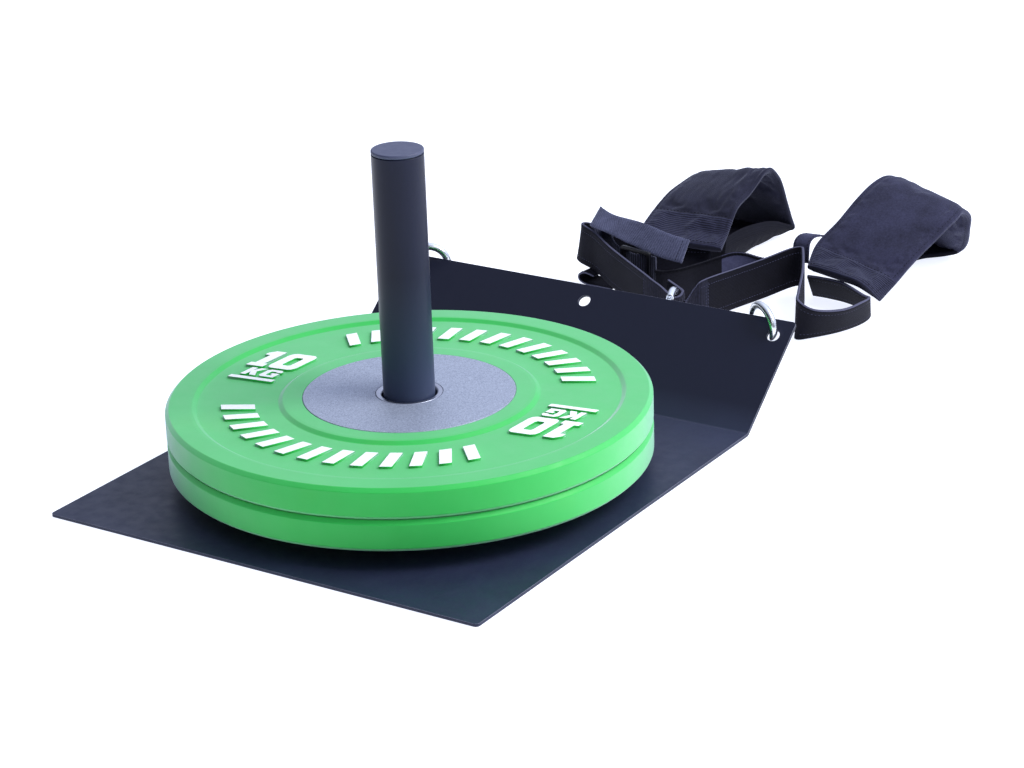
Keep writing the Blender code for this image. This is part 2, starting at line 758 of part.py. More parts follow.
def make_adjuster():
    """The three-bar slider and the ribbed strap that is threaded through it and folded back on top."""
    bm = bmesh.new()
    bmesh.ops.create_cube(bm, size=1)
    outer = (SLIDER_LENGTH, SLIDER_DEPTH, SLIDER_WINDOW + 2 * SLIDER_RAIL)
    bmesh.ops.scale(bm, vec=outer, verts=bm.verts)
    slider = add_piece("strap_adjuster", mesh_of("strap_adjuster", bm), black_plastic, smooth=False)
    slider.location = SLIDER_PLACE
    slider.rotation_euler.z = SLIDER_HEADING
    window = (SLIDER_LENGTH - 3 * SLIDER_BAR) / 2
    for side, way in (("left", -1), ("right", 1)):
        cut = add_cutter(
            f"{side}_slider_window", box_mesh("window", (window, 4 * SLIDER_DEPTH, SLIDER_WINDOW))
        )
        cut.location = slider_point(way * 500 * (window + SLIDER_BAR), 0) / 1000
        cut.rotation_euler.z = SLIDER_HEADING
        boolean(slider, cut)
    back = 1000 * SLIDER_OFFSET
    threaded = [
        facing(*slider_point(along, away), TAIL_WIDTH, 0, 0, 1)
        for along, away in (
            (-SLIDER_PASS, back),
            (-18.5, back),
            (-14.3, 0.84 * back),
            (-9.25, 0),
            (-4.2, -0.84 * back),
            (0, -back),
            (4.2, -0.84 * back),
            (9.25, 0),
            (14.3, 0.84 * back),
            (18.5, back),
            (SLIDER_PASS, back),
        )
    ]
    tail = [
        facing(*place, TAIL_WIDTH, *direction)
        for place, direction in (
            ((-3, 521, 59), (0, 0.65, 0.76)),
            ((-30, 519, 63), (0.2, 0.62, 0.76)),
            ((-68, 525, 69), (0.25, 0.7, 0.67)),
            ((-98, 530, 72), (-0.3, 0.8, 0.52)),
            ((-120, 536, 75), (-0.1, 0.85, 0.5)),
            ((-128, 542.2, 74.5), (0, 0.85, 0.53)),
            ((-130, 549.2, 68.5), (0, 0.7, 0.7)),
            ((-127, 552, 59), (0, 0.4, 0.9)),
            ((-115, 544, 51), (0, 0.1, 0.99)),
            ((-94, 523, 43), (0, 0, 1)),
        )
    ]
    add_band("adjuster_strap", (*tail, *threaded), 2, TAIL_THICKNESS, ribbed_webbing)


def make_small_ends():
    """The strap end folded on the floor under the raised left strap, and the loop at the right pad's corner."""
    lower_end = (
        (-96, 533, 1.3),
        (-112, 534, 1.3),
        (-129, 535, 1.6),
        (-138, 536, 5),
        (-138, 536, 11),
        (-130, 535, 14.5),
        (-118, 534, 12.5),
    )
    tab = (
        (91, 605.7, 36),
        (91, 606.8, 47),
        (91, 609, 57),
        (93, 615, 62.5),
        (97, 623, 63),
        (100.2, 629, 61),
    )
    for name, places, width in (
        ("lower_strap_end", lower_end, LOWER_END_WIDTH),
        ("tab_loop", tab, TAB_WIDTH),
    ):
        across = (1, 0.1, 0) if name == "tab_loop" else (0.1, 1, 0)
        rows = [facing(*place, width, *across) for place in places]
        add_band(name, rows, 3, TAIL_THICKNESS, webbing)


clear_scene()
parts = collection("weight_sled")
cutters = collection("cutters")
black_steel = finish("black_steel", (0.020, 0.021, 0.030), 0.42, 0.3)
black_post = finish("black_post", (0.022, 0.023, 0.033), 0.38, 0.3)
black_plastic = finish("black_plastic", (0.018, 0.018, 0.024), 0.45)
green_rubber = finish("green_rubber", (0.05, 0.60, 0.13), 0.55)
grey_steel = finish("grey_steel", (0.36, 0.38, 0.42), 0.6, 0.6)
zinc = finish("zinc", (0.75, 0.77, 0.78), 0.18, 1.0)
spring_steel = finish("spring_steel", (0.45, 0.45, 0.46), 0.3, 1.0)
pad_fabric = finish("pad_fabric", (0.030, 0.030, 0.042), 0.9)
webbing = finish("webbing", (0.018, 0.018, 0.026), 0.85)
ribbed_webbing = finish("ribbed_webbing", (0.045, 0.05, 0.075), 0.85)
make_base()
make_post()
make_plates()
make_hooks()
make_pads()
make_straps()
make_adjuster()
make_small_ends()
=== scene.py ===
"""A weight sled with two bumper plates and its shoulder harness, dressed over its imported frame."""

from math import asin, atan2, ceil, cos, pi, radians, sin, sqrt, tan

import bmesh
import bpy
from mathutils import Matrix, Vector, noise


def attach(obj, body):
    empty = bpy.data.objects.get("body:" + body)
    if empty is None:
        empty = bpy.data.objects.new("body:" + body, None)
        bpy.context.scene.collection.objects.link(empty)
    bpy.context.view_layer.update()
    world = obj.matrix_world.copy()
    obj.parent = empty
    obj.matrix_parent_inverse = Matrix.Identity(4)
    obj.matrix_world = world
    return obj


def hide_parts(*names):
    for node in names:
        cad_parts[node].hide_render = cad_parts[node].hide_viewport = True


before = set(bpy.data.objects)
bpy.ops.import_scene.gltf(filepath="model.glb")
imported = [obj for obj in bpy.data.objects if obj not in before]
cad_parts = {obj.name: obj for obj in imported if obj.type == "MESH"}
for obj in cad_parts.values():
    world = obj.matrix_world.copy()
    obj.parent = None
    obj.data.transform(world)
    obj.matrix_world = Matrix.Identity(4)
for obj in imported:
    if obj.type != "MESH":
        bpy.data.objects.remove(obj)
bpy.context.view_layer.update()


# The photograph's view: a long lens 2.6 m from the post, looking down over the sled's right back corner.
# Yaw, pitch and roll are in radians, and the focal length is in the picture's pixels.

CAMERA_PLACE = (1.4059, -1.9426, 1.0233)
CAMERA_YAW, CAMERA_PITCH, CAMERA_ROLL = 0.58686, 0.37341, -0.03552
SENSOR = 36.0
PICTURE_WIDTH = 1024
FOCAL_PIXELS = 2789.64
VIEW_END = 50

ahead = Vector(
    (-sin(CAMERA_YAW) * cos(CAMERA_PITCH), cos(CAMERA_YAW) * cos(CAMERA_PITCH), -sin(CAMERA_PITCH))
)
level_right = Vector((cos(CAMERA_YAW), sin(CAMERA_YAW), 0))
level_up = level_right.cross(ahead)
right = cos(CAMERA_ROLL) * level_right + sin(CAMERA_ROLL) * level_up
up = cos(CAMERA_ROLL) * level_up - sin(CAMERA_ROLL) * level_right
lens = bpy.data.cameras.new("camera")
lens.lens = FOCAL_PIXELS * SENSOR / PICTURE_WIDTH
lens.sensor_width = SENSOR
lens.clip_end = VIEW_END
camera = bpy.data.objects.new("camera", lens)
camera.matrix_world = Matrix((right, up, -ahead)).transposed().to_4x4()
camera.matrix_world.translation = CAMERA_PLACE
bpy.context.scene.collection.objects.link(camera)
bpy.context.scene.camera = camera


# The studio: a pale floor that glows, a bluish backdrop that is brightest high up beyond the sled's front, a
# soft key light on the right and a weak one beside the camera.

FLOOR_REACH = 12.0
FLOOR_DROP = 0.0002
FLOOR_GREY = 0.5
FLOOR_GLOW, FLOOR_GLOW_COLOUR = 0.88, (0.93, 0.97, 1.1)
BACKDROP_COLOUR = (0.85, 0.92, 1.16)
BACKDROP_WAY = (0.26, 0.57, 0.78)
BACKDROP_FROM = -0.1
BACKDROP_DIM, BACKDROP_BRIGHT = 0.0, 1.4
SLED_MIDDLE = (0, 0.05, 0.1)

bpy.context.scene.view_settings.view_transform = "Standard"
world = bpy.data.worlds.new("studio")
world.use_nodes = True
sky_nodes = world.node_tree.nodes
way = sky_nodes.new("ShaderNodeTexCoord")
facing_backdrop = sky_nodes.new("ShaderNodeVectorMath")
facing_backdrop.operation = "DOT_PRODUCT"
facing_backdrop.inputs[1].default_value = BACKDROP_WAY
backdrop = sky_nodes.new("ShaderNodeMapRange")
backdrop.inputs["From Min"].default_value = BACKDROP_FROM
backdrop.inputs["To Min"].default_value = BACKDROP_DIM
backdrop.inputs["To Max"].default_value = BACKDROP_BRIGHT
sky = sky_nodes["Background"]
sky.inputs["Color"].default_value = (*BACKDROP_COLOUR, 1)
world.node_tree.links.new(way.outputs["Generated"], facing_backdrop.inputs[0])
world.node_tree.links.new(facing_backdrop.outputs["Value"], backdrop.inputs["Value"])
world.node_tree.links.new(backdrop.outputs["Result"], sky.inputs["Strength"])
bpy.context.scene.world = world


def link(name, mesh):
    """Puts a mesh into the scene as an object of its own."""
    piece = bpy.data.objects.new(name, mesh)
    bpy.context.scene.collection.objects.link(piece)
    return piece


def mesh_from(name, bm):
    mesh = bpy.data.meshes.new(name)
    bm.to_mesh(mesh)
    bm.free()
    return mesh


def soft_light(name, place, size, watts, colour):
    """A square softbox hung at a place and turned towards the sled."""
    lamp = bpy.data.lights.new(name, "AREA")
    lamp.size = size
    lamp.energy = watts
    lamp.color = colour
    holder = bpy.data.objects.new(name, lamp)
    holder.location = place
    holder.rotation_euler = (Vector(SLED_MIDDLE) - Vector(place)).to_track_quat("-Z", "Y").to_euler()
    bpy.context.scene.collection.objects.link(holder)


soft_light("key_light", (1.7, 0.75, 1.95), 1.4, 55, (1.0, 0.99, 0.98))
soft_light("front_light", (1.9, -1.8, 1.4), 1.2, 5, (0.92, 0.96, 1.0))

bm = bmesh.new()
bmesh.ops.create_grid(bm, x_segments=24, y_segments=24, size=FLOOR_REACH)
floor = link("floor", mesh_from("floor", bm))
floor.location.z = -FLOOR_DROP
floor_paint = bpy.data.materials.new("floor_paint")
floor_paint.use_nodes = True
floor_shader = floor_paint.node_tree.nodes["Principled BSDF"]
for key, value in (
    ("Base Color", (FLOOR_GREY, FLOOR_GREY, FLOOR_GREY, 1)),
    ("Roughness", 0.7),
    ("Specular IOR Level", 0.2),
    ("Emission Color", (*FLOOR_GLOW_COLOUR, 1)),
    ("Emission Strength", FLOOR_GLOW),
):
    floor_shader.inputs[key].default_value = value
floor.data.materials.append(floor_paint)


# Base sheet: 3 mm steel, cut with rounded corners and three holes, folded up at the front into a panel.
# It is powder coated in satin black with faint cloudy scuffs; wear and painted highlight lighten its
# arrises, painted shade darkens the panel.

BASE_WIDTH = 0.466
BASE_BACK = 0.243
BASE_FRONT = 0.223
SHEET = 0.003
BEND_RADIUS = 0.0055
PANEL_LENGTH = 0.130
PANEL_SLOPE = radians(38.4)
CORNER_RADIUS = 0.004
HOLE_RADIUS = 0.0065
HOLE_EDGE = 0.0185
SIDE_HOLE_EDGE = 0.018
SIDE_HOLE = BASE_WIDTH / 2 - SIDE_HOLE_EDGE
HOLE_SIDES = 40
FLAT_ROWS = (-BASE_BACK, -0.16, -0.08, 0, 0.08, 0.16)
FOLD_STEPS = 12
SHEET_ARRIS = 0.0006
PANEL_SHADE_FROM, PANEL_SHADE_TO = 0.003, 0.022
SHARP = radians(35)


def linear(colour):
    """A colour as the eye reads it, from 0 to 255, turned into the shader's linear numbers."""
    return tuple(c / 255 / 12.92 if c < 11 else ((c / 255 + 0.055) / 1.055) ** 2.4 for c in colour)


class Finish:
    """A material of one shader, to which patterns of colour, shine and relief are added.

    Its colours are given as the eye reads them, and its sizes in metres.
    """

    def __init__(self, name, colour, roughness, metallic=0.0, gloss=0.5):
        self.material = bpy.data.materials.new(name)
        self.material.use_nodes = True
        self.tree = self.material.node_tree
        self.shader = self.tree.nodes["Principled BSDF"]
        self.set("Base Color", (*linear(colour), 1))
        self.set("Roughness", roughness)
        self.set("Metallic", metallic)
        self.set("Specular IOR Level", gloss)
        self.bumps = None

    def set(self, key, value):
        self.shader.inputs[key].default_value = value

    def node(self, kind, **settings):
        made = self.tree.nodes.new(kind)
        for key, value in settings.items():
            setattr(made, key, value)
        return made

    def link(self, source, target):
        self.tree.links.new(source, target)

    def place(self, stretch=(1, 1, 1)):
        """The piece's own metres, stretched, for a pattern to follow."""
        mapping = self.node("ShaderNodeMapping")
        mapping.inputs["Scale"].default_value = stretch
        self.link(self.node("ShaderNodeTexCoord").outputs["Object"], mapping.inputs["Vector"])
        return mapping.outputs["Vector"]

    def axis(self, key, where=None):
        """One coordinate of a place, which is the piece's own if none is given."""
        made = self.node("ShaderNodeSeparateXYZ")
        self.link(where or self.place(), made.inputs["Vector"])
        return made.outputs[key]

    def grain(self, size, detail=3.0, rough=0.55, where=None):
        """Cloudy noise whose spots are about that many metres across."""
        made = self.node("ShaderNodeTexNoise")
        made.inputs["Scale"].default_value = 1 / size
        made.inputs["Detail"].default_value = detail
        made.inputs["Roughness"].default_value = rough
        self.link(where or self.place(), made.inputs["Vector"])
        return made.outputs["Fac"]

    def spread(self, value, low, high, to_low=0.0, to_high=1.0):
        """Stretches one range of a pattern over another, clamped."""
        made = self.node("ShaderNodeMapRange")
        for key, number in zip(("From Min", "From Max", "To Min", "To Max"), (low, high, to_low, to_high)):
            made.inputs[key].default_value = number
        self.link(value, made.inputs["Value"])
        return made.outputs["Result"]

    def blend(self, amount, first, second):
        """A colour between two others, each of them fixed or a pattern's."""
        made = self.node("ShaderNodeMix", data_type="RGBA")
        self.link(amount, made.inputs["Factor"])
        for key, colour in (("A", first), ("B", second)):
            socket = next(s for s in made.inputs if s.name == key and s.type == "RGBA")
            if isinstance(colour, tuple):
                socket.default_value = (*linear(colour), 1)
            else:
                self.link(colour, socket)
        return next(s for s in made.outputs if s.type == "RGBA")

    def combine(self, how, first, second):
        made = self.node("ShaderNodeMath", operation=how)
        for socket, value in zip(made.inputs, (first, second)):
            if isinstance(value, (int, float)):
                socket.default_value = value
            else:
                self.link(value, socket)
        return made.outputs["Value"]

    def colour(self, value):
        self.link(value, self.shader.inputs["Base Color"])

    def shine(self, value):
        self.link(value, self.shader.inputs["Roughness"])

    def relief(self, height, depth, strength=1.0):
        """Adds a pattern's height, in metres, on top of the relief already there."""
        made = self.node("ShaderNodeBump")
        made.inputs["Distance"].default_value = depth
        made.inputs["Strength"].default_value = strength
        self.link(height, made.inputs["Height"])
        if self.bumps:
            self.link(self.bumps, made.inputs["Normal"])
        self.bumps = made.outputs["Normal"]
        self.link(self.bumps, self.shader.inputs["Normal"])

    def pits(self, size, depth, strength=0.5, detail=2.0):
        """A relief of cloudy noise."""
        self.relief(self.grain(size, detail), depth, strength)

    def patchy_shine(self, size, low, high, shiniest, dullest, detail=3.0):
        """A roughness that follows cloudy noise, whose range from low to high is stretched."""
        self.shine(self.spread(self.grain(size, detail), low, high, shiniest, dullest))

    def mottle(self, size, dark, light, detail=3.0):
        """Cloudy spots of two colours."""
        self.colour(self.blend(self.grain(size, detail), dark, light))


def dress(piece, body, finish, slot, *nodes):
    """Gives a piece its finish, lets it ride on a body and stand for the frame's nodes."""
    if piece.data.materials:
        piece.data.materials[0] = finish.material
    else:
        piece.data.materials.append(finish.material)
    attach(piece, body)
    if nodes:
        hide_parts(*nodes)
    return piece


def soften(piece, width, segments=2, edge_finish=None):
    """Rounds a piece's sharp edges, in a second finish on those edges if one is given, and shades it
    smoothly.
    """
    edge = piece.modifiers.new("Edge", "BEVEL")
    edge.width = width
    edge.segments = segments
    edge.limit_method = "ANGLE"
    edge.angle_limit = SHARP
    edge.harden_normals = True
    if edge_finish:
        piece.data.materials.append(edge_finish.material)
        edge.material = 1
    piece.data.shade_smooth()


def walled(piece, thickness):
    """Gives a piece, which is drawn flat, a wall on both sides of its surface."""
    wall = piece.modifiers.new("Wall", "SOLIDIFY")
    wall.thickness = thickness
    wall.offset = 0
    return wall


def bake(piece, modifier):
    """Applies one modifier of a piece to its mesh."""
    bpy.context.view_layer.update()
    with bpy.context.temp_override(object=piece, active_object=piece):
        bpy.ops.object.modifier_apply(modifier=modifier.name)


def panel_point(across, along):
    """A point on the folded panel's middle surface, so far along it from the fold's outer corner."""
    y = BASE_FRONT + along * cos(PANEL_SLOPE) - SHEET / 2 * sin(PANEL_SLOPE)
    z = along * sin(PANEL_SLOPE) + SHEET / 2 * cos(PANEL_SLOPE)
    return Vector((across, y, z))


corner = BASE_FRONT + SHEET / 2 * tan(PANEL_SLOPE / 2)
bend_start = corner - BEND_RADIUS * tan(PANEL_SLOPE / 2)
fold = [(y, SHEET / 2) for y in FLAT_ROWS]
for i in range(FOLD_STEPS + 1):
    turn = PANEL_SLOPE * i / FOLD_STEPS
    fold.append((bend_start + BEND_RADIUS * sin(turn), SHEET / 2 + BEND_RADIUS * (1 - cos(turn))))
panel_top = panel_point(0, PANEL_LENGTH)
fold.append((panel_top.y, panel_top.z))

bm = bmesh.new()
bmesh.ops.create_grid(bm, x_segments=1, y_segments=len(fold) - 1, size=0.5)
rows = sorted({round(v.co.y, 5) for v in bm.verts})
for v in bm.verts:
    y, z = fold[rows.index(round(v.co.y, 5))]
    v.co = Vector((BASE_WIDTH * v.co.x, y, z))
ends = [v for v in bm.verts if len(v.link_edges) == 2 and (v.co.y < 0 or v.co.z > PANEL_LENGTH / 2)]
bmesh.ops.bevel(bm, geom=ends, offset=CORNER_RADIUS, segments=6, profile=0.5, affect="VERTICES")
base_sheet = link("base_sheet", mesh_from("base_sheet", bm))
wall = walled(base_sheet, SHEET)
wall.use_even_offset = True
bake(base_sheet, wall)
for across in (-SIDE_HOLE, 0, SIDE_HOLE):
    bm = bmesh.new()
    bmesh.ops.create_cone(
        bm, cap_ends=True, segments=HOLE_SIDES, radius1=HOLE_RADIUS, radius2=HOLE_RADIUS, depth=8 * SHEET
    )
    drill = link("drill", mesh_from("drill", bm))
    drill.location = panel_point(across, PANEL_LENGTH - HOLE_EDGE)
    drill.rotation_euler.x = PANEL_SLOPE
    cut = base_sheet.modifiers.new("Hole", "BOOLEAN")
    cut.object = drill
    cut.solver = "EXACT"
    bake(base_sheet, cut)
    bpy.data.objects.remove(drill)

black_coat = Finish("black_coat", (30, 33, 50), 0.4, gloss=0.25)
clouds = black_coat.grain(0.06, detail=5)
# Painted shade: the coat darkens with height, from the flat up onto the tilted panel; the foot collar and
# weld bead, in this coat too, darken with it.
painted_panel_shade = black_coat.spread(black_coat.axis("Z"), PANEL_SHADE_FROM, PANEL_SHADE_TO)
scuffed = black_coat.blend(clouds, (30, 35, 54), (45, 51, 76))
black_coat.colour(black_coat.blend(painted_panel_shade, scuffed, (16, 20, 41)))
black_coat.patchy_shine(0.012, 0.35, 0.7, 0.36, 0.5, detail=4)
black_coat.pits(0.0009, 0.00006, 0.55)
# Painted highlight and wear: the rounded arrises get this lighter, mottled coat.
worn_and_highlit_edge = Finish("worn_and_highlit_edge", (84, 86, 106), 0.34)
worn_and_highlit_edge.mottle(0.02, (52, 54, 72), (132, 134, 156), detail=5)
dress(base_sheet, "sled", black_coat, "black_steel", "base_plate")
soften(base_sheet, SHEET_ARRIS, edge_finish=worn_and_highlit_edge)


# Foot collar: a thick turned ring, welded round the post's foot, that keeps the lower plate off the sheet.
# A run of weld bead closes the corner between the ring and the sheet.

POST_RADIUS = 0.024
POST_WALL = 0.003
POST_TOP = 0.314
GAP = 0.0003
COLLAR_RADIUS = 0.045
COLLAR_BEVEL = 0.0015
COLLAR_SIDES = 96
PLATE_LIFT = 0.021
BEAD_RADIUS = 0.0022
BEAD_OUT, BEAD_UP = 0.0005, 0.0007
BEAD_RIPPLES = 70
BEAD_STEPS, BEAD_SIDES = 280, 8
CREASE = radians(50)


def eased(profile, radius, steps, closed):
    """A turning profile with each corner cut off in a small arc, which takes 0.4 of a side at most."""
    out = []
    for i, (x, z) in enumerate(profile):
        here = Vector((x, z))
        if not closed and i in (0, len(profile) - 1):
            out.append((x, z))
            continue
        before = Vector(profile[i - 1]) - here
        after = Vector(profile[(i + 1) % len(profile)]) - here
        reach = min(radius, 0.4 * before.length, 0.4 * after.length)
        start, end = here + reach * before.normalized(), here + reach * after.normalized()
        for k in range(steps + 1):
            t = k / steps
            point = (1 - t) ** 2 * start + 2 * t * (1 - t) * here + t * t * end
            out.append((point.x, point.y))
    return out


def lathe(bm, turns, closed=True):
    """Faces from turn to turn of points all round the post's axis, added to a mesh."""
    count = len(turns[0])
    for a, b in zip(turns, turns[1:] + turns[:1]):
        for i in range(count if closed else count - 1):
            j = (i + 1) % count
            bm.faces.new((a[i], b[i], b[j], a[j]))


def turned(name, profile, bevel, sides, middle=0.0, closed=True, arc=3):
    """A ring or a solid of revolution round the post's axis, from (radius, height) points."""
    profile = eased(profile, bevel, arc, closed)
    bm = bmesh.new()
    turns = []
    for k in range(sides):
        angle = 2 * pi * k / sides
        turns.append([bm.verts.new((r * cos(angle), r * sin(angle), z + middle)) for r, z in profile])
    lathe(bm, turns, closed)
    bmesh.ops.remove_doubles(bm, verts=bm.verts, dist=1e-6)
    bmesh.ops.recalc_face_normals(bm, faces=bm.faces)
    mesh = mesh_from(name, bm)
    mesh.shade_smooth()
    mesh.set_sharp_from_angle(angle=CREASE)
    piece = link(name, mesh)
    flats = piece.modifiers.new("Flats", "WEIGHTED_NORMAL")
    flats.keep_sharp = True
    return piece


foot = SHEET + GAP
collar_top = PLATE_LIFT - GAP
collar_bore = POST_RADIUS + GAP
collar_outline = [
    (COLLAR_RADIUS, collar_top), (COLLAR_RADIUS, foot), (collar_bore, foot), (collar_bore, collar_top)
]
collar = turned("foot_ring", collar_outline, COLLAR_BEVEL, COLLAR_SIDES)
dress(collar, "sled", black_coat, "black_steel", "foot_collar")
bm = bmesh.new()
turns = []
for k in range(BEAD_STEPS):
    angle = 2 * pi * k / BEAD_STEPS
    uneven = 0.06 * noise.noise((9 * cos(angle), 9 * sin(angle), 2))
    girth = BEAD_RADIUS * (0.9 + 0.1 * sin(BEAD_RIPPLES * angle) + uneven)
    turns.append([])
    for i in range(BEAD_SIDES):
        way = 2 * pi * i / BEAD_SIDES
        reach = COLLAR_RADIUS + BEAD_OUT + girth * cos(way)
        height = max(foot, foot + BEAD_UP + girth * sin(way))
        turns[-1].append(bm.verts.new((reach * cos(angle), reach * sin(angle), height)))
lathe(bm, turns)
bead = link("weld_bead", mesh_from("weld_bead", bm))
bead.data.shade_smooth()
dress(bead, "sled", black_coat, "black_steel")


# Post: a drawn steel tube in satin black, closed by a moulded cap that is pushed in until its head sits on
# the tube's end. The tube's lower part is painted lighter: a painted reflection of the plates round its
# foot.

TUBE_BEVEL = 0.0006
CAP_HEAD = 0.0037
CAP_PLUG = 0.020
CAP_BEVEL = 0.0014
POST_SIDES = 128
REFLECTION_BELOW, REFLECTION_ABOVE = 0.08, 0.20

tube_inner = POST_RADIUS - POST_WALL
tube_top = POST_TOP - CAP_HEAD - GAP
tube_outline = [(POST_RADIUS, tube_top), (POST_RADIUS, foot), (tube_inner, foot), (tube_inner, tube_top)]
post = turned("post", tube_outline, TUBE_BEVEL, POST_SIDES)
satin_black = Finish("satin_black", (20, 25, 45), 0.42, gloss=0.25)
rubbed = satin_black.grain(0.05, detail=4, where=satin_black.place(stretch=(1, 1, 0.25)))
# Painted reflection: the coat lightens towards the tube's foot, standing in for the plates reflected in it.
painted_plate_reflection = satin_black.spread(satin_black.axis("Z"), REFLECTION_BELOW, REFLECTION_ABOVE, 1, 0)
coat = satin_black.blend(rubbed, (11, 15, 32), (24, 30, 58))
satin_black.colour(satin_black.blend(painted_plate_reflection, coat, (56, 66, 90)))
satin_black.shine(satin_black.spread(rubbed, 0.3, 0.75, 0.33, 0.46))
satin_black.pits(0.0012, 0.00005)
drawn = satin_black.grain(0.0006, where=satin_black.place(stretch=(1, 1, 0.03)))
satin_black.relief(drawn, 0.00003, 0.4)
dress(post, "sled", satin_black, "black_post", "post_tube")

plug = tube_inner - GAP
head_foot = POST_TOP - CAP_HEAD
cap_outline = [
    (0, POST_TOP), (POST_RADIUS, POST_TOP), (POST_RADIUS, head_foot),
    (plug, head_foot), (plug, head_foot - CAP_PLUG), (0, head_foot - CAP_PLUG),
]
cap = turned("post_cap_moulding", cap_outline, CAP_BEVEL, POST_SIDES, closed=False, arc=4)
moulded_black = Finish("moulded_black", (68, 73, 99), 0.5)
moulded_black.patchy_shine(0.008, 0.3, 0.7, 0.44, 0.56)
moulded_black.pits(0.0006, 0.00005, 0.6)
dress(cap, "sled", moulded_black, "black_plastic", "post_cap")


# Bumper plates: a green rubber body moulded round two grey steel discs and a pressed-in bore sleeve.
# The rubber has a raised rim, a sunk face between two ridges, and painted raised marks.

PLATE_RADIUS = 0.225
PLATE_THICKNESS = 0.0297
RIM_RECESS = 0.0003
RIM_INNER_RADIUS = 0.200
FACE_GROOVE = 0.003
GROOVE_SLOPE = 0.004
HUB_RIDGE, RIM_RIDGE, RIDGE_FALL = 0.0035, 0.003, 0.0002
RIM_BEVEL = 0.0035
HUB_RING_RADIUS = 0.117
DISC_RADIUS = 0.0985
DISC_THICKNESS = 0.010
BORE_PLAY = 0.0015
BORE_RADIUS = POST_RADIUS + BORE_PLAY
SLEEVE_WALL = 0.0055
SLEEVE_BEVEL = 0.0015
MOULD_EASE, SLEEVE_EASE = 0.0007, 0.0006
RUBBER_SIDES, DISC_SIDES, SLEEVE_SIDES = 224, 160, 96

green_rubber = Finish("green_rubber", (26, 192, 70), 0.5, gloss=0.4)
green_rubber.set("Sheen Weight", 0.8)
green_rubber.set("Sheen Roughness", 0.5)
green_rubber.set("Sheen Tint", (0.8, 0.88, 1.0, 1))
bloom = green_rubber.grain(0.05, detail=5, rough=0.6)
greens = green_rubber.blend(bloom, (17, 182, 60), (30, 196, 74))
sunny = green_rubber.spread(green_rubber.grain(0.09, detail=2), 0.62, 0.8, 0, 0.35)
green_rubber.colour(green_rubber.blend(sunny, greens, (60, 190, 44)))
green_rubber.patchy_shine(0.02, 0.3, 0.7, 0.44, 0.58, detail=4)
green_rubber.pits(0.0011, 0.00008, detail=3)
lathe_lines = green_rubber.grain(0.0012, detail=1, where=green_rubber.place(stretch=(0.02, 0.02, 1)))
green_rubber.relief(lathe_lines, 0.00006, 0.35)

grey_disc = Finish("grey_disc", (150, 158, 184), 0.5, metallic=0.35)
speckle = grey_disc.grain(0.0011, detail=3, rough=0.75)
spots = grey_disc.spread(speckle, 0.36, 0.64)
grey_disc.colour(grey_disc.blend(spots, (128, 136, 156), (180, 189, 205)))
grey_disc.relief(speckle, 0.0002, 0.7)
grey_disc.patchy_shine(0.03, 0.3, 0.7, 0.46, 0.56)

machined_steel = Finish("machined_steel", (176, 182, 198), 0.3, metallic=1.0)
turning = machined_steel.grain(0.0006, detail=2, where=machined_steel.place(stretch=(0.05, 0.05, 1)))
machined_steel.relief(turning, 0.00003, 0.5)
machined_steel.mottle(0.01, (150, 156, 172), (196, 200, 212))

white_paint = Finish("white_paint", (240, 243, 243), 0.55)
chalk = white_paint.grain(0.004, detail=5, rough=0.7)
chalk = white_paint.spread(chalk, 0.25, 0.5)
white_paint.colour(white_paint.blend(chalk, (222, 236, 228), (248, 249, 250)))
white_paint.pits(0.0008, 0.00004, detail=3)

# Each mark's width and its outlines, in a box one unit high.
GLYPHS = {
    "1": (0.62, [[
        (0.0, 0.72), (0.0, 0.86), (0.16, 1.0), (0.50, 1.0), (0.50, 0.2), (0.62, 0.2), (0.62, 0.0),
        (0.04, 0.0), (0.04, 0.2), (0.18, 0.2), (0.18, 0.72),
    ]]),
    "0": (0.92, [[
        (0.16, 0.0), (0.05, 0.05), (0.0, 0.17), (0.0, 0.83), (0.05, 0.95), (0.16, 1.0),
        (0.76, 1.0), (0.87, 0.95), (0.92, 0.83), (0.92, 0.17), (0.87, 0.05), (0.76, 0.0),
    ], [
        (0.36, 0.24), (0.32, 0.29), (0.32, 0.71), (0.36, 0.76),
        (0.56, 0.76), (0.60, 0.71), (0.60, 0.29), (0.56, 0.24),
    ]]),
    "K": (0.95, [[
        (0.0, 0.0), (0.0, 1.0), (0.33, 1.0), (0.33, 0.64), (0.56, 1.0), (0.95, 1.0),
        (0.62, 0.53), (0.95, 0.0), (0.56, 0.0), (0.33, 0.4), (0.33, 0.0),
    ]]),
    "G": (0.95, [[
        (0.15, 0.0), (0.0, 0.15), (0.0, 0.85), (0.15, 1.0), (0.8, 1.0), (0.95, 0.85), (0.95, 0.68),
        (0.65, 0.68), (0.61, 0.76), (0.36, 0.76), (0.32, 0.7), (0.32, 0.3), (0.36, 0.24), (0.63, 0.24),
        (0.63, 0.36), (0.5, 0.36), (0.5, 0.56), (0.95, 0.56), (0.95, 0.0),
    ]]),
    "bar": (1.0, [[(0.0, 0.0), (0.0, 1.0), (1.0, 1.0), (1.0, 0.0)]]),
}
GLYPH_SPACE = 0.1
MARK_RAISE = 0.0021
MARK_BEVEL = 0.0003
MARK_SINK = 0.0001
MARK_SLANT = 0.21
WEIGHT_TURN = radians(9)
# What stands at the left, from above: the weight, its unit and a plain bar, each with its place from the
# plate's middle, its width and its height, in metres.
WEIGHT_MARKS = (
    ("10", -0.152, 0.0355, 0.051, 0.041),
    ("KG", -0.155, 0.0015, 0.035, 0.0185),
    ("bar", -0.158, -0.0150, 0.047, 0.006),
)
ARC_RADIUS = 0.158
ARC_BAR = (0.0115, 0.031)
ARC_BARS = 13
ARC_START, ARC_END = radians(145), radians(41)


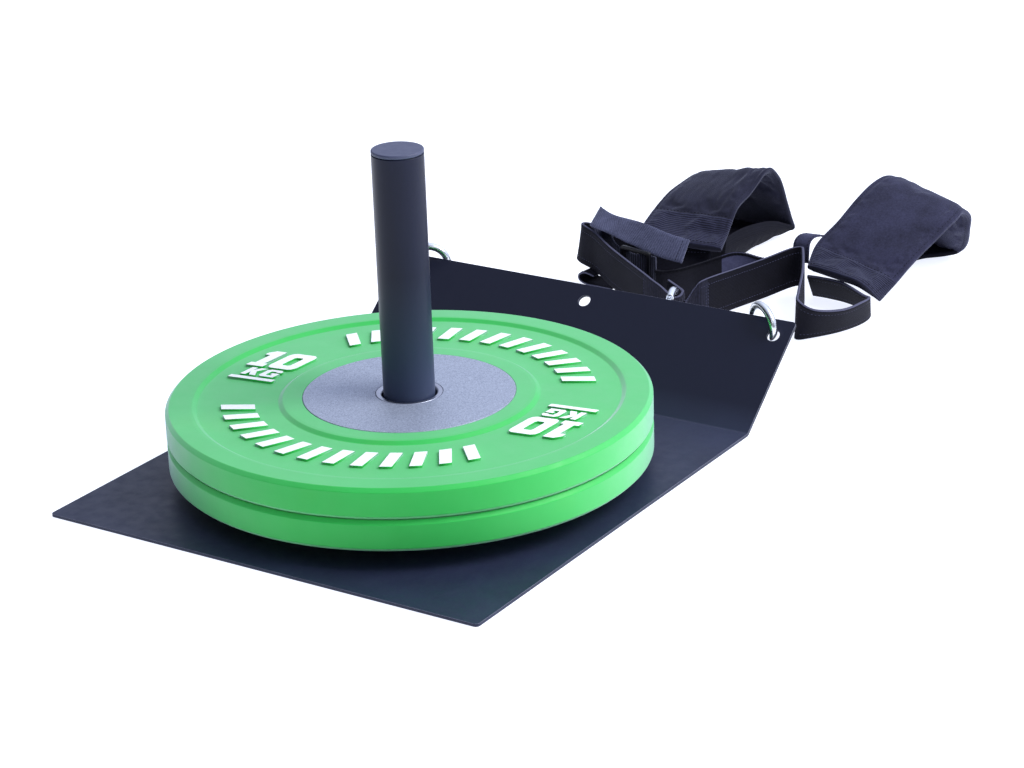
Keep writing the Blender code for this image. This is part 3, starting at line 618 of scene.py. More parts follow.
def mark_outlines(word, width, height):
    """The outlines of a word of marks, centred, slanted and fitted into a width and height."""
    letters = [word] if word == "bar" else list(word)
    full = sum(GLYPHS[c][0] for c in letters) + GLYPH_SPACE * (len(letters) - 1)
    outlines, start = [], 0.0
    for c in letters:
        for outline in GLYPHS[c][1]:
            places = [((start + x) / full - 0.5, y - 0.5) for x, y in outline]
            outlines.append([Vector((x * width + MARK_SLANT * y * height, y * height)) for x, y in places])
        start += GLYPHS[c][0] + GLYPH_SPACE
    return outlines


def face_marks():
    """All the marks of one plate face as one mesh, flat on the height zero and raised above it."""
    outlines = []
    for half_turn in (0, pi):
        spin = Matrix.Rotation(half_turn + WEIGHT_TURN, 2)
        for word, x, y, width, height in WEIGHT_MARKS:
            for outline in mark_outlines(word, width, height):
                outlines.append([spin @ (point + Vector((x, y))) for point in outline])
        for k in range(ARC_BARS):
            angle = half_turn + ARC_START + (ARC_END - ARC_START) * k / (ARC_BARS - 1)
            turn = Matrix.Rotation(angle - pi / 2, 2)
            for outline in mark_outlines("bar", *ARC_BAR):
                outlines.append([turn @ (point + Vector((0, ARC_RADIUS))) for point in outline])
    curve = bpy.data.curves.new("marks", "CURVE")
    curve.dimensions = "2D"
    curve.fill_mode = "BOTH"
    curve.extrude = MARK_RAISE / 2
    curve.bevel_depth = MARK_BEVEL
    curve.bevel_resolution = 1
    curve.offset = -MARK_BEVEL
    for outline in outlines:
        spline = curve.splines.new("POLY")
        spline.points.add(len(outline) - 1)
        for point, place in zip(spline.points, outline):
            point.co = (place.x, place.y, 0, 1)
        spline.use_cyclic_u = True
    holder = bpy.data.objects.new("marks", curve)
    bpy.context.scene.collection.objects.link(holder)
    bpy.context.view_layer.update()
    mesh = bpy.data.meshes.new_from_object(holder.evaluated_get(bpy.context.evaluated_depsgraph_get()))
    bpy.data.objects.remove(holder)
    mesh.transform(Matrix.Translation((0, 0, MARK_RAISE / 2 - MARK_SINK)))
    mesh.materials.clear()
    mesh.materials.append(white_paint.material)
    mesh.materials.append(green_rubber.material)
    for face in mesh.polygons:
        face.material_index = 0 if face.normal.z > 0.5 else 1
    return mesh


def make_plate(label, middle, marks):
    """One whole plate round a height: rubber body, two discs, two painted faces and the bore's sleeve."""
    half = PLATE_THICKNESS / 2
    face = half - RIM_RECESS
    disc_seat = half - DISC_THICKNESS
    web = disc_seat - GAP
    inner = BORE_RADIUS + SLEEVE_WALL + GAP
    body = f"{label}_plate"
    upper = [
        (inner, web), (DISC_RADIUS + GAP, web), (DISC_RADIUS + GAP, face),
        (HUB_RING_RADIUS - HUB_RIDGE, face), (HUB_RING_RADIUS, face - RIDGE_FALL),
        (HUB_RING_RADIUS + GROOVE_SLOPE, face - FACE_GROOVE),
        (RIM_INNER_RADIUS - GROOVE_SLOPE, face - FACE_GROOVE),
        (RIM_INNER_RADIUS, face - RIDGE_FALL), (RIM_INNER_RADIUS + RIM_RIDGE, face),
        (PLATE_RADIUS - RIM_BEVEL, face), (PLATE_RADIUS, face - RIM_BEVEL),
    ]
    outline = upper + [(r, -z) for r, z in reversed(upper)]
    rubber = turned(f"{label}_rubber_body", outline, MOULD_EASE, RUBBER_SIDES, middle)
    dress(rubber, body, green_rubber, "green_rubber", f"{label}_plate_rubber")
    for side, way in (("top", 1), ("bottom", -1)):
        outline = [
            (DISC_RADIUS, way * half), (DISC_RADIUS, way * disc_seat),
            (inner, way * disc_seat), (inner, way * half),
        ]
        disc = turned(f"{label}_{side}_hub_disc", outline, MOULD_EASE, DISC_SIDES, middle)
        dress(disc, body, grey_disc, "grey_steel", f"{label}_plate_{side}_disc")
        painted = link(f"{label}_{side}_marks", marks.copy())
        painted.data.transform(Matrix.Translation((0, 0, face - FACE_GROOVE)))
        if way < 0:
            painted.data.transform(Matrix.Rotation(pi, 4, "Y"))
        painted.data.transform(Matrix.Translation((0, 0, middle)))
        dress(painted, body, white_paint, "green_rubber")
    mouth = BORE_RADIUS + SLEEVE_BEVEL
    outline = [
        (BORE_RADIUS + SLEEVE_WALL, half), (BORE_RADIUS + SLEEVE_WALL, -half), (mouth, -half),
        (BORE_RADIUS, SLEEVE_BEVEL - half), (BORE_RADIUS, half - SLEEVE_BEVEL), (mouth, half),
    ]
    sleeve = turned(f"{label}_bore_sleeve", outline, SLEEVE_EASE, SLEEVE_SIDES, middle)
    dress(sleeve, body, machined_steel, "grey_steel", f"{label}_plate_sleeve")


marks = face_marks()
lower_middle = PLATE_LIFT + PLATE_THICKNESS / 2
make_plate("lower", lower_middle, marks)
make_plate("upper", lower_middle + PLATE_THICKNESS + GAP, marks)
bpy.data.meshes.remove(marks)


# Snap hooks: bright zinc-plated bar bent to a long loop, with a sprung gate that is riveted to its end.
# Two hang in the panel's side holes, the third holds both pull straps of the harness.

HOOK_LENGTH = 0.090
HOOK_BAR = 0.008
HOOK_WIDE_RADIUS = 0.020
HOOK_NARROW_RADIUS = 0.0125
NOSE_DROP = 0.007
HINGE_RISE = 0.006
BEND_STEPS, NARROW_STEPS = 48, 32
BAR_SIDES, GATE_SIDES, PIN_SIDES = 24, 20, 16
TONGUE_ROOT = 0.002
NOSE_TONGUE = (0.0062, 0.0058, 0.0026)
SHOULDER = 0.0062
SHOULDER_TONGUE = (SHOULDER + 0.005, 0.0062, 0.0026)
GATE_RADIUS = 0.0038
GATE_TAIL = 0.004
GATE_START, GATE_SHORTER = 0.006, 0.016
CHEEK_OFFSET = 0.0023
CHEEK_START, TIP_CHEEK = 0.0085, 0.009
CHEEK_HEIGHT, CHEEK_WIDTH = 0.0066, 0.0014
PIN_RADIUS = 0.0012
# The rivet's lower half: heights from the gate's underside, and its radius there in pin radii.
RIVET = ((-0.0006, 0.9), (0, 1.6), (0.0004, 1.7), (0.0006, 1.0))
HOOK_BEVEL = 0.0005
HOOK_LEAN = radians(5)
HOOK_TURN = radians(31.5)
HOOK_DROP = 0.0045
HOOK_REACH = HOOK_LENGTH - HOOK_WIDE_RADIUS - HOOK_NARROW_RADIUS - HOOK_BAR
STRAP_HOOK_PLACE = Vector((0.0262, 0.4410, HOOK_WIDE_RADIUS + HOOK_BAR / 2 + GAP))
STRAP_HOOK_HEADING = radians(-72)

bright_zinc = Finish("bright_zinc", (222, 226, 230), 0.14, metallic=1.0)
bright_zinc.patchy_shine(0.004, 0.3, 0.75, 0.17, 0.32, detail=4)
bright_zinc.mottle(0.006, (206, 212, 220), (236, 238, 238))
bright_zinc.pits(0.003, 0.00004, 0.2, detail=3)

hook_slope = asin((HOOK_WIDE_RADIUS - HOOK_NARROW_RADIUS) / HOOK_REACH)
side_normal = Vector((sin(hook_slope), cos(hook_slope), 0))
side_start = HOOK_WIDE_RADIUS * side_normal
side_run = Vector((HOOK_REACH, 0, 0)) + HOOK_NARROW_RADIUS * side_normal - side_start
side_way = side_run.normalized()
nose = side_start + NOSE_DROP * side_way
shoulder = side_start + (side_run.length - HINGE_RISE) * side_way
pin_centre = shoulder - SHOULDER * side_way
gate_tip = nose + 2 * GAP * side_way


def bar_line():
    """Points along the bar: nose, wide bend, straight back, narrow bend and the hinge's shoulder."""
    points = [nose, side_start]
    for i in range(1, BEND_STEPS + 1):
        angle = (pi / 2 - hook_slope) + (pi + 2 * hook_slope) * i / BEND_STEPS
        points.append(HOOK_WIDE_RADIUS * Vector((cos(angle), sin(angle), 0)))
    middle = Vector((HOOK_REACH, 0, 0))
    for i in range(NARROW_STEPS + 1):
        angle = -(pi / 2 - hook_slope) + (pi - 2 * hook_slope) * i / NARROW_STEPS
        points.append(middle + HOOK_NARROW_RADIUS * Vector((cos(angle), sin(angle), 0)))
    points.append(shoulder)
    return points


def skin(bm, rings):
    """Faces from ring to ring of points and over both ends, added to a mesh."""
    for a, b in zip(rings, rings[1:]):
        for i in range(len(a)):
            j = (i + 1) % len(a)
            bm.faces.new((a[i], a[j], b[j], b[i]))
    bm.faces.new(list(reversed(rings[0])))
    bm.faces.new(rings[-1])


def sweep(bm, points, radius, sides, scales=None):
    """A round bar through points, added to a mesh, whose radius can be scaled at each point."""
    rings = []
    last = len(points) - 1
    side = None
    for k, here in enumerate(points):
        way = (points[min(k + 1, last)] - points[max(k - 1, 0)]).normalized()
        if side is None:
            side = way.orthogonal().normalized()
        side = (side - side.dot(way) * way).normalized()
        other = way.cross(side)
        size = radius * (scales[k] if scales else 1)
        angles = [2 * pi * i / sides for i in range(sides)]
        rings.append([bm.verts.new(here + size * (cos(w) * side + sin(w) * other)) for w in angles])
    skin(bm, rings)


def tongue(bm, root, way, reach, height, width):
    """A flat tongue forged at a bar's end, added to a mesh."""
    made = bmesh.ops.create_cube(bm, size=1)["verts"]
    turn = Matrix.Rotation(atan2(way.y, way.x), 4, "Z")
    place = Matrix.Translation(root + way * reach / 2) @ turn
    bmesh.ops.transform(bm, matrix=place @ Matrix.Diagonal((reach, height, width, 1)), verts=made)


def hook_piece(name, bm, place, body, nodes):
    piece = link(name, mesh_from(name, bm))
    piece.data.transform(place)
    piece.data.shade_smooth()
    soften(piece, HOOK_BEVEL)
    dress(piece, body, bright_zinc, "zinc", *nodes)


def make_hook(label, place):
    """One hook, drawn flat round its wide bend's middle and then laid in place: bar, gate and rivet."""
    bm = bmesh.new()
    sweep(bm, bar_line(), HOOK_BAR / 2, BAR_SIDES)
    tongue(bm, nose - TONGUE_ROOT * side_way, side_way, *NOSE_TONGUE)
    tongue(bm, shoulder + TONGUE_ROOT * side_way, -side_way, *SHOULDER_TONGUE)
    hook_piece(f"{label}_bent_bar", bm, place, f"{label}_hook", [f"{label}_hook_bar"])

    bm = bmesh.new()
    tail = pin_centre + GATE_TAIL * side_way
    length = (tail - gate_tip).length
    for way in (-1, 1):
        cheek = Vector((0, 0, way * CHEEK_OFFSET))
        start = gate_tip + CHEEK_START * side_way
        tongue(bm, start + cheek, side_way, length - CHEEK_START, CHEEK_HEIGHT, CHEEK_WIDTH)
        tongue(bm, gate_tip + cheek, side_way, TIP_CHEEK, CHEEK_HEIGHT, CHEEK_WIDTH)
    line = [gate_tip + side_way * (GATE_START + (length - GATE_SHORTER) * t / 6) for t in range(7)]
    sweep(bm, line, GATE_RADIUS, GATE_SIDES)
    hook_piece(f"{label}_sprung_gate", bm, place, f"{label}_gate", [f"{label}_hook_gate"])

    bm = bmesh.new()
    end = [(rise - GATE_RADIUS, scale) for rise, scale in RIVET]
    steps = end + [(-z, scale) for z, scale in reversed(end)]
    line = [pin_centre + Vector((0, 0, z)) for z, _ in steps]
    sweep(bm, line, PIN_RADIUS, PIN_SIDES, scales=[scale for _, scale in steps])
    hook_piece(f"{label}_rivet", bm, place, f"{label}_gate", [f"{label}_hook_pin"])


def frame_matrix(origin, x_axis, y_axis):
    """The matrix that lays a flat drawing at an origin, along two axes."""
    matrix = Matrix((x_axis, y_axis, x_axis.cross(y_axis))).transposed().to_4x4()
    matrix.translation = origin
    return matrix


for label, way in (("left", -1), ("right", 1)):
    hang = Vector((0, -sin(HOOK_LEAN), cos(HOOK_LEAN)))
    back = Vector((0, cos(HOOK_LEAN), sin(HOOK_LEAN)))
    to_gate = cos(HOOK_TURN) * Vector((-way, 0, 0)) + sin(HOOK_TURN) * back
    hole = panel_point(way * SIDE_HOLE, PANEL_LENGTH - HOLE_EDGE)
    place = frame_matrix(
        hole + HOOK_DROP * hang + HOOK_WIDE_RADIUS * to_gate,
        sin(hook_slope) * to_gate - cos(hook_slope) * hang,
        cos(hook_slope) * to_gate + sin(hook_slope) * hang,
    )
    make_hook(label, place)
heading = Vector((cos(STRAP_HOOK_HEADING), sin(STRAP_HOOK_HEADING), 0))
upright = Vector((0, 0, 1))
place = frame_matrix(
    STRAP_HOOK_PLACE,
    cos(hook_slope) * heading - sin(hook_slope) * upright,
    cos(hook_slope) * upright + sin(hook_slope) * heading,
)
make_hook("strap", place)


# Shoulder pads: thin foam between two layers of dark navy canvas, bound along both edges with tape.
# Each rises from a hem that is covered with ribbed webbing, folds over and comes back along the floor.

PAD_WIDTH = 0.098
PAD_THICKNESS = 0.007
BINDING = 0.0045
# The cover's relief: how high or deep each form is, and how far from its line it reaches.
BINDING_DROP = 0.0006
CROWN = 0.0004
CHANNEL_DEPTH, CHANNEL_REACH = 0.0011, 0.0022
COVER, COVER_EDGE = 0.0005, 0.0012
HEM_SEAM = 0.0015
TUCK_DEPTH, TUCK_REACH = 0.0010, 0.003
UNDER_BELOW = 0.012
SEAM_END, PAD_END_SEAM = 0.004, 0.005
PAD_STITCH, PAD_THREAD = (0.0042, 0.003), 0.00034
PAD_SWELL = 0.0016
# How far the sewn lines hold the cover still, and how much the rest of it is held.
SEWN_EDGE, SEWN_REACH, LOOSELY_HELD = 0.001, 0.003, 0.02
CLOTH_FRAMES = 20
LIP = 0.0005
# The scale at which the wave texture draws one band to a metre.
BAND_SCALE = 0.314159
FLOOR_GAP = 0.0003
CURVE_STEPS = 12
EDGE_HEIGHT = 0.62
# A stitch, by five rings: how far along it each lies, its girth and its rise off the cloth.
STITCH = ((0, 0.3, 0), (0.2, 0.9, 0.5), (0.5, 1, 0.7), (0.8, 0.9, 0.5), (1, 0.3, 0))
STITCH_WAYS = [pi / 3 * i for i in range(6)]


def smooth(stations, pieces):
    """A smooth curve through stations of any number of values, with that many steps between two."""
    rows = [stations[0], *stations, stations[-1]]
    out = []
    for a, b, c, d in zip(rows, rows[1:], rows[2:], rows[3:]):
        for i in range(pieces):
            t = i / pieces
            row = [
                0.5 * (2 * q + (r - p) * t + (2 * p - 5 * q + 4 * r - s) * t * t)
                + 0.5 * (3 * q - p - 3 * r + s) * t * t * t
                for p, q, r, s in zip(a, b, c, d)
            ]
            out.append(row)
    out.append(list(stations[-1]))
    return out


class Band:
    """A band of cloth from stations in mm: its middle, its width vector and its right edge's fall."""

    def __init__(self, stations, thickness, step, relief=None, sway=None):
        rows = smooth([tuple(x / 1000 for x in (*row, 0, 0, 0)[:9]) for row in stations], CURVE_STEPS)
        rows = [(Vector(row[:3]), Vector(row[3:6]), Vector(row[6:9])) for row in rows]
        dense = [0.0]
        for (a, _, _), (b, _, _) in zip(rows, rows[1:]):
            dense.append(dense[-1] + (b - a).length)
        self.length = dense[-1]
        self.width = max(row[1].length for row in rows)
        count = ceil(self.length / step)
        self.run = [self.length * k / count for k in range(count + 1)]
        self.rows, i = [], 0
        for run in self.run:
            while i < len(dense) - 2 and dense[i + 1] < run:
                i += 1
            t = (run - dense[i]) / (dense[i + 1] - dense[i])
            self.rows.append(tuple(a.lerp(b, t) for a, b in zip(rows[i], rows[i + 1])))
        self.half = thickness / 2
        self.relief = relief or (lambda share, along: 0.0)
        self.sway = sway or (lambda share, along: 0.0)

    def middle(self, k, share):
        """The band's middle surface at a row, from -0.5 at the left edge to 0.5 at the right one."""
        place, width, fall = self.rows[max(0, min(k, len(self.rows) - 1))]
        return place + share * width + max(0, (share - 0.1) / 0.4) ** 3 * fall

    def normal(self, k, share):
        k = max(0, min(k, len(self.rows) - 1))
        way = self.middle(k + 1, share) - self.middle(k - 1, share)
        return way.cross(self.rows[k][1]).normalized()

    def surface(self, k, share, side):
        """A point on one face at a row: side is 1 for the front, -1 for the back, less for inside."""
        along = self.run[min(k, len(self.run) - 1)]
        lift = side * (self.half + self.relief(share, along)) + self.sway(share, along)
        return self.middle(k, share) + lift * self.normal(k, share)

    def at(self, along, share, side):
        """A point and the normal on one face, by the metres along the band."""
        place = max(0, min(along / self.length, 1)) * (len(self.run) - 1)
        k = min(int(place), len(self.run) - 2)
        point = self.surface(k, share, side).lerp(self.surface(k + 1, share, side), place - k)
        return point, self.normal(k, share).lerp(self.normal(k + 1, share), place - k) * side

    def mesh(self, name, columns, edge):
        """The closed mesh, with its edges rounded and the metres across and along it as a map."""
        margin = edge / self.width
        shares = [-0.5 + margin + (1 - 2 * margin) * j / columns for j in range(columns + 1)]
        tuck = 0.3 * margin
        loop = [(tuck - 0.5, EDGE_HEIGHT), *[(s, 1) for s in shares], (0.5 - tuck, EDGE_HEIGHT)]
        section = [*loop, (0.5, 0), *[(s, -h) for s, h in reversed(loop)], (-0.5, 0)]
        count, last = len(section), len(loop) - 1
        self.places = [(share, along) for along in self.run for share, _ in section]
        bm = bmesh.new()
        weave = bm.loops.layers.uv.new("weave")
        rings = [[bm.verts.new(self.surface(k, s, h)) for s, h in section] for k in range(len(self.run))]
        for v in bm.verts:
            v.co.z = max(v.co.z, FLOOR_GAP)

        def face(*corners):
            made = bm.faces.new([rings[k][i] for i, k in corners])
            for corner, (i, k) in zip(made.loops, corners):
                corner[weave].uv = (section[i][0] * self.width, self.run[k])

        for k in range(len(rings) - 1):
            for i in range(count):
                j = (i + 1) % count
                face((i, k), (j, k), (j, k + 1), (i, k + 1))
        for k in (0, len(rings) - 1):
            for i in range(last):
                face((i, k), (i + 1, k), (count - 3 - i, k), (count - 2 - i, k))
            face((last + 1, k), (last, k), (last + 2, k))
            face((count - 1, k), (0, k), (count - 2, k))
        bmesh.ops.recalc_face_normals(bm, faces=bm.faces)
        mesh = mesh_from(name, bm)
        mesh.shade_smooth()
        return mesh


def sewing(name, stitches, thick, finish, slot):
    """Thread on cloth as a piece: each stitch has its start, its end and the cloth's normal."""
    bm = bmesh.new()
    for start, end, normal in stitches:
        side = (end - start).normalized().cross(normal).normalized()
        rings = []
        for t, girth, lift in STITCH:
            here = start.lerp(end, t) + thick * lift * normal
            round_it = [cos(w) * side + sin(w) * normal for w in STITCH_WAYS]
            rings.append([bm.verts.new(here + thick * girth * way) for way in round_it])
        skin(bm, rings)
    thread = link(name, mesh_from(name, bm))
    thread.data.shade_smooth()
    return dress(thread, "harness", finish, slot)


def seam(band, share, start, end, side, pitch=0.0036, length=0.0026):
    """Stitches along a band at a share of its width, between two places along it."""
    out = []
    for i in range(int((end - start) / pitch)):
        a, normal = band.at(start + i * pitch, share, side)
        b, _ = band.at(start + i * pitch + length, share, side)
        out.append((a, b, normal))
    return out


def cross_seam(band, along, reach, side, pitch=0.0036, length=0.0026):
    """Stitches across a band at one place along it, from one share of its half width to the other."""
    out = []
    for i in range(int(2 * reach * band.width / pitch)):
        share = i * pitch / band.width - reach
        a, normal = band.at(along, share, side)
        b, _ = band.at(along, share + length / band.width, side)
        out.append((a, b, normal))
    return out


class Weave(Finish):
    """Woven cloth: yarns across and along it, from the map of metres on its mesh.

    A patch is ribbed from one place along the cloth to another. A lip is the colour of its edges, from half
    of a width out. What is turned under, past a place, has two colours of its own and no sheen.
    """

    def __init__(
        self, name, dark, light, across, along, depth, sheen, patch=None, lip=None, turned_under=None
    ):
        super().__init__(name, dark, 0.85, gloss=0.15)
        self.set("Sheen Weight", sheen)
        self.set("Sheen Roughness", 0.45)
        self.set("Sheen Tint", (0.72, 0.76, 1.0, 1))
        self.metres = self.node("ShaderNodeUVMap", uv_map="weave").outputs["UV"]
        run = self.axis("Y", self.metres)
        yarn = self.combine("MULTIPLY", self.ribs("X", across), self.ribs("Y", along))
        cloud = self.grain(0.03, detail=6, rough=0.7)
        lint = self.grain(0.0022, detail=3, rough=0.7)
        shade = self.combine("MULTIPLY", yarn, 0.25)
        shade = self.combine("ADD", shade, self.combine("MULTIPLY", cloud, 0.5))
        shade = self.combine("ADD", shade, self.combine("MULTIPLY", lint, 0.45))
        cloth = self.blend(self.spread(shade, 0.3, 0.95), dark, light)
        self.relief(yarn, depth, 0.8)
        if patch:
            start, end, pitch, patch_dark, patch_light = patch
            past = self.combine("GREATER_THAN", run, start)
            inside = self.combine("MULTIPLY", past, self.combine("LESS_THAN", run, end))
            rib = self.ribs("Y", pitch)
            ribbed = self.blend(self.combine("MULTIPLY", rib, lint), patch_dark, patch_light)
            cloth = self.blend(inside, cloth, ribbed)
            self.relief(self.combine("MULTIPLY", inside, rib), 0.0004, 0.8)
        if turned_under:
            start, under_dark, under_light = turned_under
            past = self.combine("GREATER_THAN", run, start)
            cloth = self.blend(past, cloth, self.blend(shade, under_dark, under_light))
            before = self.combine("LESS_THAN", run, start)
            self.link(self.combine("MULTIPLY", before, sheen), self.shader.inputs["Sheen Weight"])
        if lip:
            half, lip_colour = lip
            reach = self.combine("ABSOLUTE", self.axis("X", self.metres), 0)
            cloth = self.blend(self.combine("GREATER_THAN", reach, half - LIP), cloth, lip_colour)
        self.colour(cloth)
        self.pits(0.0006, 0.0001)

    def ribs(self, direction, pitch):
        """Even bands, one to a pitch in metres."""
        wave = self.node("ShaderNodeTexWave", bands_direction=direction)
        wave.inputs["Scale"].default_value = BAND_SCALE / pitch
        for key, value in (("Distortion", 0.3), ("Detail", 1), ("Detail Scale", 3)):
            wave.inputs[key].default_value = value
        self.link(self.metres, wave.inputs["Vector"])
        return wave.outputs["Fac"]


def swell(piece, band, sewn):
    """Lets a pad's cover grow a little and puff up between its sewn lines, in a cloth run."""
    start = [v.co.copy() for v in piece.data.vertices]
    held = piece.vertex_groups.new(name="sewn")
    for index, place in enumerate(band.places):
        held.add([index], sewn(*place), "REPLACE")
    cloth = piece.modifiers.new("Cloth", "CLOTH")
    cloth.settings.quality = 6
    cloth.settings.use_pressure = True
    cloth.settings.uniform_pressure_force = 4
    cloth.settings.shrink_min = -0.04
    cloth.settings.vertex_group_mass = "sewn"
    cloth.settings.effector_weights.gravity = 0
    cloth.point_cache.frame_start = 1
    cloth.point_cache.frame_end = CLOTH_FRAMES
    for number in range(1, CLOTH_FRAMES + 1):
        bpy.context.scene.frame_set(number)
    puffed = piece.evaluated_get(bpy.context.evaluated_depsgraph_get())
    ends = [v.co.copy() for v in puffed.data.vertices]
    piece.modifiers.remove(cloth)
    piece.vertex_groups.remove(held)
    bpy.context.scene.frame_set(1)
    for v, a, b in zip(piece.data.vertices, start, ends):
        move = b - a
        v.co = a + move * min(1, PAD_SWELL / max(move.length, 1e-9))
        v.co.z = max(v.co.z, FLOOR_GAP)


def pad_station(x, y, z, roll, skew, share, fall=(0, 0, 0)):
    """z is at the underside, roll lifts the right edge, skew turns it to the back, share is the width's."""
    level = Vector((cos(radians(skew)), sin(radians(skew)), 0))
    across = cos(radians(roll)) * level + sin(radians(roll)) * Vector((0, 0, 1))
    return (x, y, z + 500 * PAD_THICKNESS, *(across * 1000 * PAD_WIDTH * share), *fall)


LEFT_PAD = (
    (-46, 581, 39, -4, 14, 0.99), (-51, 604, 47.5, -4, 12, 0.99), (-53, 628, 60.5, 2, 4, 1),
    (-54, 653, 70.5, 4, -2, 1), (-52, 684, 79.5, 8, -3, 1), (-49, 707, 84.5, 11, -1, 1),
    (-49, 733, 73.5, 6, 0, 0.99), (-51, 753, 46.5, 0, 0, 0.99), (-52, 767, 20.5, 0, 0, 1),
    (-51, 772, 8.5, 0, 0, 1), (-50, 760, 1.1, 0, 0, 1, (-3, 0, 14)), (-48, 720, 0.5, 0, 2, 1, (-9, 0, 30)),
    (-49, 670, 0.5, 0, -2, 1, (-12, 0, 38)), (-50, 628, 0.5, 0, 0, 1, (-12, 0, 38)),
)
RIGHT_PAD = (
    (155, 570, 36.5, -3, -10, 0.86, (-3, 27, -25)), (154, 610, 41.5, -14, -2, 1, (3, 4, -2)),
    (165, 640, 58.5, -14, -3, 1.04), (174, 674, 76.5, -12, 0, 1.09), (179, 700, 86.5, -12, 0, 1.1),
    (181, 720, 89.5, -13, -5, 1.05), (182, 743, 78.5, -16, -5, 1.01), (174, 763, 54.5, -15, -8, 1),
    (162, 786, 30.5, -13, -9, 1), (149, 803, 9.5, -5, -15, 1), (137, 802, 1.7, 0, -22, 1),
    (119, 785, 0.8, 0, -20, 0.97), (107, 752, 0.5, 0, -14, 0.94),
)

sewing_thread = Finish("sewing_thread", (12, 12, 22), 0.7, gloss=0.15)
sewing_thread.pits(0.0004, 0.00008, 0.6, detail=3)


def make_pad(side, stations, hem, seed, wrinkled, canvas_light):
    """A pad from its stations; hem is how far the ribbed webbing reaches, wrinkled where it creases."""

    def relief(share, along):
        edge = (0.5 - abs(share)) * PAD_WIDTH
        crown = CROWN * (1 - (2 * share) ** 2)
        channel = -CHANNEL_DEPTH * max(0, 1 - abs(edge - BINDING) / CHANNEL_REACH) ** 2
        cover = COVER * (1 - max(0, min(1, (along - hem) / COVER_EDGE)))
        tuck = -TUCK_DEPTH * max(0, 1 - abs(along - hem - HEM_SEAM) / TUCK_REACH) ** 2
        return crown + channel + cover + tuck - BINDING_DROP * max(0, 1 - edge / BINDING)

    def sway(share, along):
        start, end, height = wrinkled
        near = max(0, min(1, (along - start) / 0.03, (end - along) / 0.03)) * (0.15 + 2.2 * max(0, share))
        folds = noise.noise((along * 22 + share * 7, share * 11 - along * 16, seed))
        fine = noise.noise((along * 70 + share * 9, share * 17, seed + 2))
        loose = 0.0005 * noise.noise((along * 45, share * 6, seed + 5))
        return near * height * (folds + 0.3 * fine) + loose

    def sewn(share, along):
        edge = (0.5 - abs(share)) * PAD_WIDTH
        nearest = min(abs(edge - BINDING), abs(along - hem - HEM_SEAM), along, band.length - along)
        return 1.0 if edge < BINDING + SEWN_EDGE or nearest < SEWN_REACH else LOOSELY_HELD

    name = f"{side}_padded_strap"
    band = Band([pad_station(*row) for row in stations], PAD_THICKNESS, 0.003, relief, sway)
    crest = max(range(len(band.rows)), key=lambda k: band.rows[k][0].z)
    back = next(run for run, row in zip(band.run[crest:], band.rows[crest:]) if row[0].z < UNDER_BELOW)
    canvas = Weave(
        f"{side}_navy_canvas", (18, 18, 28), canvas_light, 0.0011, 0.0009, 0.00015, 0.2,
        patch=(0, hem, 0.0028, (24, 24, 38), (66, 68, 96)),
        turned_under=(back, (2, 2, 7), (15, 16, 32)),
    )
    pad = link(name, band.mesh(name, 38, edge=0.0022))
    swell(pad, band, sewn)
    finer = pad.modifiers.new("Finer", "SUBSURF")
    finer.levels = finer.render_levels = 1
    dress(pad, "harness", canvas, "pad_fabric", f"{side}_shoulder_pad")
    inset = 0.5 - BINDING / PAD_WIDTH
    lines = []
    for face in (1, -1):
        for share in (-inset, inset):
            lines += seam(band, share, SEAM_END, band.length - SEAM_END, face, *PAD_STITCH)
        for along in (PAD_END_SEAM, hem + HEM_SEAM):
            lines += cross_seam(band, along, inset, face, *PAD_STITCH)
    sewing(f"{side}_pad_sewing", lines, PAD_THREAD, sewing_thread, "pad_fabric")


# Painted shade: the left pad's canvas gets a darker light colour than the right pad's, as its top faces away
# from the key light.
make_pad("left", LEFT_PAD, 0.048, 3.0, (0.05, 0.17, 0.0036), (46, 47, 70))
make_pad("right", RIGHT_PAD, 0.036, 8.0, (0.03, 0.16, 0.0014), (68, 69, 99))


# Pull straps: heavy black webbing with lighter edges, laid on edge and sewn flat with two rows.
# Each starts in a loop round the strap hook's wide bend and runs under its pad's hem at the other end.

STRAP_WIDTH = 0.045
STRAP_THICKNESS = 0.003
EYE_PLAY = 0.0011
EYE_WIDTH = 0.010
EYE_RISE = 26
STRAP_SEAM = 0.007
SEAM_DEPTH, SEAM_REACH = 0.0004, 0.0014
SELVEDGE, SELVEDGE_REACH = 0.00015, 0.003
# The patch and the seams begin where a strap's end loop has widened to this.
WIDE_ENOUGH = 0.042
CROSS_REACH = 0.44
STRAP_THREAD = 0.0003


def standing(x, y, lift, lean_x=0.0, lean_y=0.0, width=STRAP_WIDTH):
    """A station of a band on edge: its lower edge's place, its upper edge's lean, in mm, and its width."""
    width = 1000 * width
    rise = sqrt(width**2 - lean_x**2 - lean_y**2)
    return (x + lean_x / 2, y + lean_y / 2, lift + rise / 2, lean_x, lean_y, rise)


def eye_ring(rise, start, end):
    """A strap's end loop round the hook's bar, at an angle up the wide bend, between two angles."""
    side = Vector((-heading.y, heading.x, 0))
    outward = sin(radians(rise)) * upright - cos(radians(rise)) * heading
    tangent = cos(radians(rise)) * upright + sin(radians(rise)) * heading
    middle = STRAP_HOOK_PLACE + HOOK_WIDE_RADIUS * outward
    sag = EYE_WIDTH**2 / (8 * HOOK_WIDE_RADIUS)
    radius = HOOK_BAR / 2 + sag + EYE_PLAY + STRAP_THICKNESS / 2
    ring = []
    for i in range(6):
        angle = radians(start + (end - start) * i / 5)
        place = middle + radius * (cos(angle) * outward + sin(angle) * side)
        ring.append((*(1000 * place), *(1000 * EYE_WIDTH * tangent)))
    return ring


